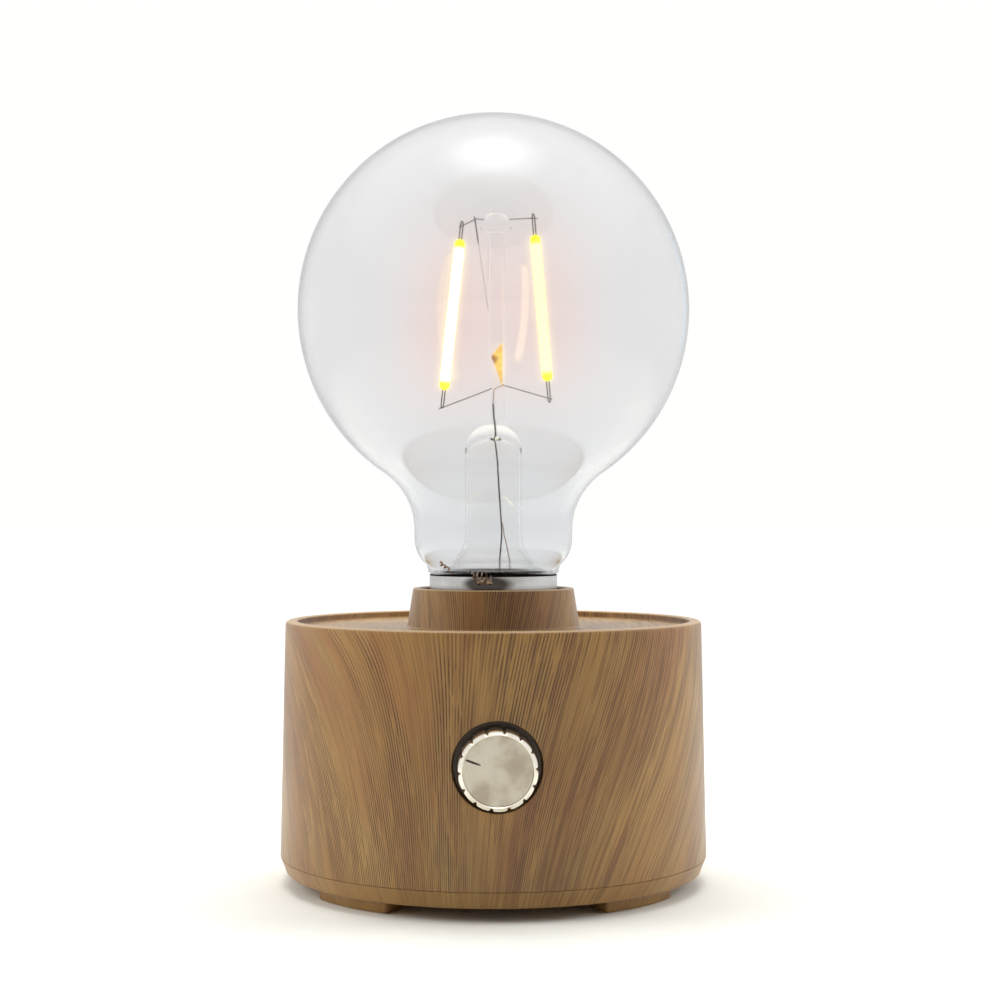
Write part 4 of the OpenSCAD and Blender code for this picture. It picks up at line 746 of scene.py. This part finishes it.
# The metal is darker round the solder, in an oval whose edge is frayed by the stains
off = put(tree, "VectorMath", {0: place, 1: dark_oval_place}, operation="SUBTRACT").outputs[0]
off = put(tree, "VectorMath", {0: off, 1: dark_oval_spread}, operation="MULTIPLY").outputs[0]
reach = put(tree, "VectorMath", {0: off}, operation="LENGTH").outputs["Value"]
dark_oval = ramp(tree, calc(tree, "MULTIPLY_ADD", stain, 0.5, reach), 0.9, 1.35, 0.92, 0.0)
tree.links.new(blend(tree, dark_oval, metal, tone(70, 60, 54)), shader.inputs["Base Color"])
tree.links.new(calc(tree, "MULTIPLY_ADD", drawn, 0.25, 0.18), shader.inputs["Roughness"])
dent = put(tree, "Bump", {"Height": drawn, "Strength": 0.1, "Distance": 0.03 * MM})
tree.links.new(dent.outputs["Normal"], shader.inputs["Normal"])
piece("cap_shell", [surface(cap_points)], plated, "bulb", "cap_metal", ["bulb_cap"], crease=40)

# Painted shade: the cement is coloured near black, for the shadow in the gap under the glass's foot
cement = uneven("basing_cement_painted_dark", tone(46, 40, 34), tone(24, 20, 17), 900.0, (0.6, 0.9), 0.6)
solder = uneven("dull_solder", tone(196, 172, 150), tone(70, 54, 44), 1500.0, (0.2, 0.5), 0.5, Metallic=0.9)
finish_nodes((cement, ("cap_cement",)), (solder, ("bulb_tip_contact",)), (dark_plastic, ("cap_insulator",)))


def tube(route, radius, sides=10, ref=(0, 0, 1), steps=6):
    """Round wire along a route in millimetres, closed at both ends. The route is a smooth curve
    through the given points, each coordinate a piecewise cubic with the neighbours' slope, and the
    section is a circle across the route's direction."""
    p = np.array(route, float)
    padded = np.concatenate([p[:1], p, p[-1:]])
    before, start, end, after = padded[:-3], padded[1:-2], padded[2:-1], padded[3:]
    t = np.linspace(0, 1, steps, endpoint=False)[None, :, None]
    before, start, end, after = (q[:, None, :] for q in (before, start, end, after))
    line = 0.5 * (2 * start + (end - before) * t + (2 * before - 5 * start + 4 * end - after) * t ** 2
                  + (3 * start - before - 3 * end + after) * t ** 3)
    line = np.concatenate([line.reshape(-1, 3), p[-1:]])
    ahead = np.gradient(line, axis=0)
    ahead /= np.linalg.norm(ahead, axis=1)[:, None]
    u = np.cross(ahead, np.array(ref, float))
    u /= np.linalg.norm(u, axis=1)[:, None]
    v = np.cross(ahead, u)
    a = np.linspace(0, 2 * np.pi, sides, endpoint=False)[None, :, None]
    size = np.broadcast_to(np.asarray(radius, float), len(line)).copy()
    ring = line[:, None] + size[:, None, None] * (np.cos(a) * u[:, None] + np.sin(a) * v[:, None])
    caps = [np.repeat(line[i][None, None], sides, 1) for i in (0, -1)]
    return surface(np.concatenate([caps[0], ring, caps[1]]))


# The neutral wire is soldered to the cap's rim in front: an uneven lump with loose ends of wire
def lump(x, y, z, size, seed):
    """Rounded lump: a ball whose radius swells and shrinks by a sum of a few waves."""
    u, v = np.linspace(0, np.pi, 15)[:, None], np.linspace(0, 2 * np.pi, 24, endpoint=False)[None]
    swell = 1 + 0.16 * np.sin(3 * v + seed) * np.sin(u) + 0.12 * np.cos(4 * u + 2 * v + 2 * seed) * np.sin(u)
    ball = np.stack([np.sin(u) * np.cos(v), np.sin(u) * np.sin(v), np.cos(u) + 0 * v], -1) * swell[..., None]
    return surface(ball * np.array(size) + np.array([x, y, z]))


# The loose wire end zigzags along the lump. A black disc inside the glass, with a bead pressed out
# over the rim, thickest in front and behind and gone at both sides, is painted shade in the gap
share = np.linspace(0, 1, 26)[:, None]
loose_end = np.concatenate([-4.6 + 4.0 * share + 0.3 * np.sin(30 * share),
                            -13.05 - 0.2 * np.sin(math.pi * share),
                            62.45 + 0.75 * np.sin(27 * share + 0.6)], 1)
bead_swell, bead_low, bead_in = 0.72, cap_rim - 0.1, 12.45
way = np.linspace(0, 2 * np.pi, 144, endpoint=False)
bead = np.array([(bead_in, bead_low, 0), (12.9, cap_rim - 0.05, 0), (13.02, cap_rim + 0.03, 0),
                 (13.03, cap_rim + 0.08, 0.1), (cap_r, cap_rim + 0.1, 0.35), (cap_r, cap_rim + 0.12, 0.6),
                 (12.6, cap_rim + 0.1, 0.6), (bead_in, bead_low, 0)])[:, :, None]
squeezed = np.sin(way) ** 2
bead_r, bead_z = bead[:, 0] + bead_swell * bead[:, 2] * squeezed, bead[:, 1] + bead[:, 2] * squeezed
disc = profile((0, 61.5), (11.3, 61.5), (11.6, 61.8), (11.6, cap_rim), (6.0, cap_rim + 0.02), (0, cap_rim))
# Painted shade: a near black disc and bead, for the shadow where the glass meets the cap
painted_shade_disc = uneven("black_painted_shade", tone(26, 21, 17), tone(10, 8, 7), 900.0, (0.8, 0.95), 0.3,
                 Specular_IOR_Level=0.1)
bead_ring = np.stack([bead_r * np.cos(way), bead_r * np.sin(way), bead_z], -1)
piece("painted_shade_disc", [turned(disc, 96), surface(bead_ring)], painted_shade_disc, "bulb", "cement")
lumps = [lump(-2.7, -12.98, 61.5, (1.3, 0.36, 0.8), 1), lump(-1.1, -13.0, 61.3, (0.9, 0.3, 0.6), 3)]
piece("cap_solder_lump", lumps + [tube(loose_end, 0.12, 8, steps=3)],
      solder, "bulb", "solder", ["cap_solder"], crease=60)

# ---------------------------------------------------------------- Bulb glass
# Clear blown glass: an 80 mm globe drawn into a short neck, whose foot is cemented in the cap. The
# stem is fused in from below: a flared tube, a pinch, and a solid post with a button on top.

globe_r, glass_t, globe_z = 40.0, 0.6, 116.396
fillet_r, fillet_at, fillet_z, neck_r = 14.0, 30.2, 71.63, 16.2
shoulder_r, shoulder_z, hollow_r, glass_low = 7.0, 69.8, 2.6, 59.3


def glass_side(t):
    """Outline of the glass from its top to its foot, moved inwards by t."""
    meet = math.degrees(math.acos(fillet_at / (globe_r + fillet_r)))
    apart = (shoulder_r + hollow_r) * math.sqrt(0.5)
    return profile(arc(0, globe_z, globe_r - t, 90, -meet, 110),
                   arc(fillet_at, fillet_z, fillet_r + t, 180 - meet, 180, 24),
                   arc(neck_r - shoulder_r, shoulder_z, shoulder_r - t, 0, -45, 14),
                   arc(neck_r - shoulder_r + apart, shoulder_z - apart, hollow_r + t, 135, 180, 12),
                   (12.5 - t, 62.25), (11.85 - t, 61.1), (11.65 - t, glass_low))


def clear(name, tint, foot_tint, refraction, rough, foot_rough):
    """Clear glass with a faint tint that varies a little, and faint ripples from blowing. It can be
    duller at its foot, where it was reheated to be sealed, and it is tinted greyer from the neck down."""
    material, tree, shader = finish_of(name, Transmission_Weight=1.0, IOR=refraction)
    place = put(tree, "TexCoord").outputs["Object"]
    cords = put(tree, "TexNoise", {"Vector": place, "Scale": 28.0, "Detail": 2.0}).outputs["Fac"]
    haze = put(tree, "TexNoise", {"Vector": place, "Scale": 45.0, "Detail": 3.0}).outputs["Fac"]
    height = put(tree, "SeparateXYZ", {0: place}).outputs["Z"]
    above_neck = ramp(tree, height, 0.076, 0.104)
    stained = blend(tree, ramp(tree, haze, 0.3, 0.7), tint, [0.995 * c for c in tint[:3]] + [1])
    tree.links.new(blend(tree, above_neck, foot_tint, stained), shader.inputs["Base Color"])
    dull = calc(tree, "ADD", ramp(tree, haze, 0.3, 0.8, rough * 0.7, rough * 1.3),
                ramp(tree, height, 0.064, 0.069, foot_rough, 0.0))
    tree.links.new(dull, shader.inputs["Roughness"])
    wavy = put(tree, "Bump", {"Height": cords, "Strength": 0.03, "Distance": 1.0 * MM})
    tree.links.new(wavy.outputs["Normal"], shader.inputs["Normal"])
    return material


globe_glass = clear("globe_glass", (0.999, 0.999, 0.999, 1), (0.955, 0.97, 0.978, 1), 1.45, 0.05, 0.07)
stem_glass = clear("stem_glass", (0.99, 0.985, 0.98, 1), (0.985, 0.98, 0.975, 1), 1.2, 0.04, 0.0)
outline = profile(glass_side(0), glass_side(glass_t)[::-1])
piece("glass_globe", [turned(outline, 192)], globe_glass, "bulb", "bulb_glass", ["bulb_globe"], crease=50)

flare_r, flare_z, flare_h, stem_r, stem_t, pinch_z, post_r = 12.2, 63.4, 7.6, 5.8, 0.55, 94.0, 1.65
dome_low, dome_h, dome_in_low, dome_in_h = pinch_z - 6, 5.4, pinch_z - 7, 3.6
bell = arc(0, 0, 1, 270, 180, 20)
stem_out = profile((flare_r, flare_z - 0.4),
                   bell * (flare_r - stem_r, flare_h) + (flare_r, flare_z + flare_h),
                   [(stem_r, 80), (stem_r, dome_low)],
                   arc(0, 0, 1, 6, 70, 14) * (stem_r, dome_h) + (0, dome_low),
                   (post_r + 0.35, pinch_z), (0, pinch_z))
bell_in = bell * (flare_r - stem_r + stem_t, flare_h + stem_t * 0.6) + (flare_r, flare_z + flare_h)
stem_in = profile((0, pinch_z - 3.4),
                  arc(0, 0, 1, 72, 0, 12) * (stem_r - stem_t, dome_in_h) + (0, dome_in_low),
                  bell_in[::-1])
stem_outline = profile(stem_out, stem_in, (flare_r, flare_z - 0.4))
piece("glass_stem", [turned(stem_outline, 96)], stem_glass, "bulb", "bulb_glass", ["bulb_stem"], crease=50)

post_x, button_z, button_r, button_h = 0.6, 133.2, 3.2, 3.4
post_low, button_fillet = pinch_z + 0.05, 0.6
post_outline = profile((0, post_low), (post_r, post_low), (post_r, 114), (post_r, button_z - button_fillet),
                       arc(post_r + button_fillet, button_z - button_fillet, button_fillet, 180, 95, 6),
                       (button_r - 0.2, button_z + 0.1),
                       arc(0, 0, 1, 2, 90, 16) * (button_r, button_h) + (0, button_z + 0.2))
points, faces = turned(post_outline, 64)
piece("glass_post", [(points + np.array([post_x, 0, 0]), faces)], stem_glass, "bulb", "bulb_glass",
      ["stem_post"], crease=50)

# ---------------------------------------------------------------- Filaments and wires
# Two slim glass rods of light-emitting chips under yellow phosphor hang between thin nickel-iron
# wires. The phosphor glows white along the rod and stays yellow where the chips end.

rod_r, rod_depth, wire_r, tab_l = 1.05, 4.0, 0.1, {"left": 3.7, "right": 4.4}
tops = {"left": np.array([-6.8, -rod_depth, 130.6]), "right": np.array([8.7, rod_depth, 132.8])}
lows = {"left": np.array([-10.1, -rod_depth, 100.0]), "right": np.array([11.35, rod_depth, 102.4])}


def glow(name, core, edge, power):
    """Lit phosphor. The share of the rod's length is kept as an attribute: the glow has the core's
    colour along the rod and is plain yellow in the last part of both ends. It is yellower at the
    rod's edges, where less of the chips' light comes through the phosphor."""
    material, tree, shader = finish_of(name, Roughness=0.5)
    share = put(tree, "Attribute", attribute_name="along").outputs["Fac"]
    end = calc(tree, "MULTIPLY", calc(tree, "ABSOLUTE", calc(tree, "SUBTRACT", share, 0.5)), 2.0)
    tip = ramp(tree, end, 0.84, 0.92)
    grain = put(tree, "TexNoise", {"Vector": put(tree, "TexCoord").outputs["Object"], "Scale": 1500.0,
                                   "Detail": 2.0}).outputs["Fac"]
    rim = ramp(tree, put(tree, "LayerWeight").outputs["Facing"], 0.35, 0.95)
    bright, dim = ([c * power for c in colour] + [1] for colour in (core, edge))
    body = blend(tree, calc(tree, "MULTIPLY_ADD", grain, 0.2, rim), bright, dim)
    tree.links.new(blend(tree, tip, body, (0.9, 0.84, 0.0, 1)), shader.inputs["Emission Color"])
    tree.links.new(blend(tree, tip, tone(255, 240, 170), tone(236, 214, 10)), shader.inputs["Base Color"])
    shader.inputs["Emission Strength"].default_value = 1.0
    return material


for side, glow_of in {"left": ((1.0, 0.93, 0.62), (1.0, 0.8, 0.14), 2.8),
                      "right": ((1.0, 0.97, 0.42), (0.92, 0.84, 0.12), 1.4)}.items():
    top, low = tops[side], lows[side]
    share = np.concatenate([[0, 0.002, 0.007, 0.014, 0.022, 0.03], np.linspace(0.06, 0.94, 40),
                            [0.97, 0.978, 0.986, 0.993, 0.998, 1]])
    size = rod_r * np.sqrt(np.clip(1 - np.clip(abs(share - 0.5) * 2 - 0.94, 0, 1) ** 2 / 0.06 ** 2, 0.02, 1))
    line = low + share[:, None] * (top - low)
    points, faces = tube(line, size, 24, (0, 1, 0), steps=1)
    tags = np.concatenate([[0] * 24, np.repeat(share, 24), [1] * 24])
    piece("filament_rod_" + side, [(points, faces)], glow("lit_phosphor_" + side, *glow_of), "bulb",
          "filament", ["filament_" + side], tags={"along": tags})

wire_metal, copper_wire, tab_metal = (
    uneven(name, bright, dull, 900.0, rough, Metallic=shine) for name, bright, dull, rough, shine in (
        ("nickel_iron_wire", tone(96, 86, 78), tone(62, 52, 46), (0.35, 0.55), 0.8),
        ("copper_plated_wire", tone(192, 138, 98), tone(138, 92, 58), (0.3, 0.5), 0.9),
        ("tab_metal", tone(90, 84, 76), tone(58, 54, 48), (0.35, 0.55), 0.8)))

# Tabs: a stiff wire bent to a narrow U, its legs in the rod's end and its bend at the thin wire
tab_half, tab_wire_r, tab_hold = 0.26, 0.125, {"left": 0.1, "right": 0.8}
tab_bend = ((-1, -0.1), (-1, 0.3), (-1, 0.6), (-0.8, 0.9), (0, 1.0), (0.8, 0.9), (1, 0.6), (1, 0.3),
            (1, -0.1))
hooks, ends_up, ends_low = [], {}, {}
for side, length in tab_l.items():
    ahead = (tops[side] - lows[side]) / np.linalg.norm(tops[side] - lows[side])
    aside = np.array([ahead[2], 0, -ahead[0]])
    for start, way in ((tops[side], ahead), (lows[side], -ahead)):
        legs = [start + s * tab_half * aside + k * length * way for s, k in tab_bend]
        hooks.append(tube(legs, tab_wire_r, 8, (0, 1, 0), steps=4))
    ends_up[side] = tops[side] + (length - 0.9) * ahead
    ends_low[side] = lows[side] - (length - tab_hold[side]) * ahead
piece("filament_hooks", hooks, tab_metal, "bulb", "contact_metal", ["filament_tabs"], crease=60)

in_button = np.array([post_x, 0, button_z + button_h / 2])
at_left, at_right = ends_up["left"], ends_up["right"]
kink = at_left + (2.9, 2.0, 1.7)
cross = [tube([at_left - (0.5, 0, 0.3), kink, in_button + (-2.2, 0, 0.4)], wire_r, 8, steps=1),
         tube([at_right + (0.9, 0.2, 0), at_right, in_button + (2.2, 0.3, 0.5)], wire_r, 8, steps=1)]
piece("cross_wire", cross, wire_metal, "bulb", "lead_wire", ["top_cross_wire"], crease=60)

# Thin jumper, welded to the left cross wire and drawn out to a hair that ends on the post's side
jumper_top, jumper_end = kink + (-0.3, 0, 0.5), in_button + (-post_r, -0.3, -18.4)
share = np.linspace(0, 1, 21)[:, None]
jumper_line = jumper_top + share * (jumper_end - jumper_top)
piece("jumper", [tube(jumper_line, 0.035 + 0.1 * (share[:, 0] < 0.28), 8, (0, 1, 0), steps=1)],
      wire_metal, "bulb", "lead_wire", ["jumper_wire"], crease=60)

lower, low_wire_z = [], 100.6
for side, s in (("left", -1), ("right", 1)):
    end = ends_low[side]
    root = np.array([post_x + s * 0.8, s * 0.3, low_wire_z + (0.9 if s > 0 else 0)])
    lower.append(tube([end + 0.06 * (end - root), end, 0.5 * (root + end), root], wire_r, 8))
piece("lower_support_wires", lower, wire_metal, "bulb", "lead_wire", ["lower_wires"], crease=60)

# One wire runs down the stem, and a thin copper-plated one joins it near the foot. The neutral wire
# bends out under the rim, and a stray curl lies beside the solder.
lead_route = [(0.05, 0, 97.4), (0.2, 0, 94.1), (0.4, 0, 90.4), (0.9, 0, 84.7), (1.15, 0, 80.3),
              (1.45, 0, 75.6), (1.7, 0, 70.8), (1.5, 0, 67.7), (1.3, 0, 63.0), (2.0, 0, 50.2)]
second_route = [(1.9, 1.0, 73), (2.3, 0.9, 70.2), (2.6, 0.8, 69), (3.6, 0.6, 63), (5.0, 0, 50.2)]
neutral_route = [(-3.0, -6.0, 50.2), (-2.6, -8, 54), (-1.6, -10.4, 57), (-0.8, -11.3, 57.7)]
curl_route = [(-10.7 + 0.2 * t + 0.3 * math.sin(1.9 * t), -7.5, 65.1 - 0.15 * t + 0.25 * math.cos(1.9 * t))
              for t in np.linspace(0, 9, 28)]
piece("lead_in_wire_pair", [tube(lead_route, 0.16, 10, (0, 1, 0)), tube(neutral_route, 0.2, 8, (1, 0, 0))],
      wire_metal, "bulb", "lead_wire", ["lead_in_wires"], crease=60)
joint_route = [(1.9, 0.3, 101.2), (1.1, 0.2, 101.0), (0.25, 0, 100.3), (0.1, 0, 98.8), (0.05, 0, 97.3)]
piece("second_lead_wire", [tube(second_route, 0.1, 8, (0, 1, 0)), tube(joint_route, 0.08, 8, (0, 1, 0)),
                           tube(curl_route, 0.16, 8, (0, 1, 0), 3)],
      copper_wire, "bulb", "lead_wire", crease=60)

# Light of the rods caught in the post, built as a glowing amber sliver, pointed at its lower end
share = np.linspace(0, 1, 24)[:, None]
left_edge = -0.95 + 1.9 * np.clip(share - 0.3, 0, 1) ** 0.8 / 0.75 + 1.5 * np.clip(0.3 - share, 0, 1) * 4.0
right_edge = 1.05 + 0 * share
thick = 0.12 * np.sin(math.pi * np.clip(share, 0.02, 0.98))
sliver = np.stack([np.concatenate([left_edge, right_edge, right_edge, left_edge], 1),
                   np.concatenate([-thick, -thick, thick, thick], 1),
                   np.repeat(109.8 - 9.0 * share, 4, 1)], -1) + (post_x, 0, 0)
amber, tree, shader = finish_of("amber_glint", Roughness=0.4)
place = put(tree, "TexCoord").outputs["Object"]
mottle = put(tree, "TexNoise", {"Vector": place, "Scale": 900.0, "Detail": 2.0}).outputs["Fac"]
spot = put(tree, "VectorMath", {0: place, 1: (0.0, 0, 0.1066)}, operation="DISTANCE").outputs["Value"]
lit = blend(tree, ramp(tree, mottle, 0.35, 0.65), (0.95, 0.72, 0.16, 1), (0.8, 0.5, 0.12, 1))
lit = blend(tree, ramp(tree, spot, 0.0004, 0.0013), (0.3, 0.12, 0.03, 1), lit)
tree.links.new(lit, shader.inputs["Emission Color"])
shader.inputs["Emission Strength"].default_value = 0.9
shader.inputs["Base Color"].default_value = (0.1, 0.05, 0.01, 1)
rims = [np.stack([e[[0, 1]], e[[3, 2]]]) for e in (sliver[0], sliver[-1])]
piece("post_glint", [surface(sliver)] + [surface(e, False) for e in rims],
      amber, "bulb", "filament", crease=60)

# Glare of the lens round the lit rods, warm and wide, which also veils the glass there in peach
scene = bpy.context.scene
scene.use_nodes = True
develop = scene.node_tree
develop.nodes.clear()


def step(kind, links, **settings):
    """New step in the picture's development. Links map an input to the output that feeds it."""
    made = develop.nodes.new("CompositorNode" + kind)
    for key, value in settings.items():
        setattr(made, key, value)
    for key, value in links.items():
        if isinstance(value, bpy.types.NodeSocket):
            develop.links.new(value, made.inputs[key])
        else:
            made.inputs[key].default_value = value
    return made.outputs


# The rods are where red is well over blue. A grey picture is so much red and blue to the eye
eye_red, eye_blue, gain, blue_weight, start_at = 0.2126, 0.0722, 8, 10, 3.6
veil_size, fringe_size, veil_power, fringe_power = 100, 12, 2.3, 0.4
veil_tone, fringe_tone = (1.35, 0.68, 0.5, 1), (1.0, 0.8, 0.1, 1)
shot = step("RLayers", {})["Image"]
red, blue = (step("RGBToBW", {0: step("MixRGB", {0: 1.0, 1: shot, 2: colour}, blend_type="MULTIPLY")[0]})[0]
             for colour in ((1, 0, 0, 1), (0, 0, 1, 1)))
less = step("Math", {0: blue, 1: -blue_weight / eye_blue, 2: -start_at}, operation="MULTIPLY_ADD")[0]
excess = step("Math", {0: red, 1: gain / eye_red, 2: less}, operation="MULTIPLY_ADD")[0]
rods = step("Math", {0: excess, 1: 0.0}, operation="ADD", use_clamp=True)[0]
wide, close = (step("Blur", {"Image": rods}, filter_type="GAUSS", size_x=size, size_y=size)[0]
               for size in (veil_size, fringe_size))
veil, fringe = (step("Math", {0: mask, 1: power}, operation="MULTIPLY")[0]
                for mask, power in ((wide, veil_power), (close, fringe_power)))
veiled = step("MixRGB", {0: veil, 1: shot, 2: veil_tone}, blend_type="MULTIPLY")[0]
done = step("MixRGB", {0: fringe, 1: veiled, 2: fringe_tone}, blend_type="ADD")[0]
step("Composite", {"Image": done})
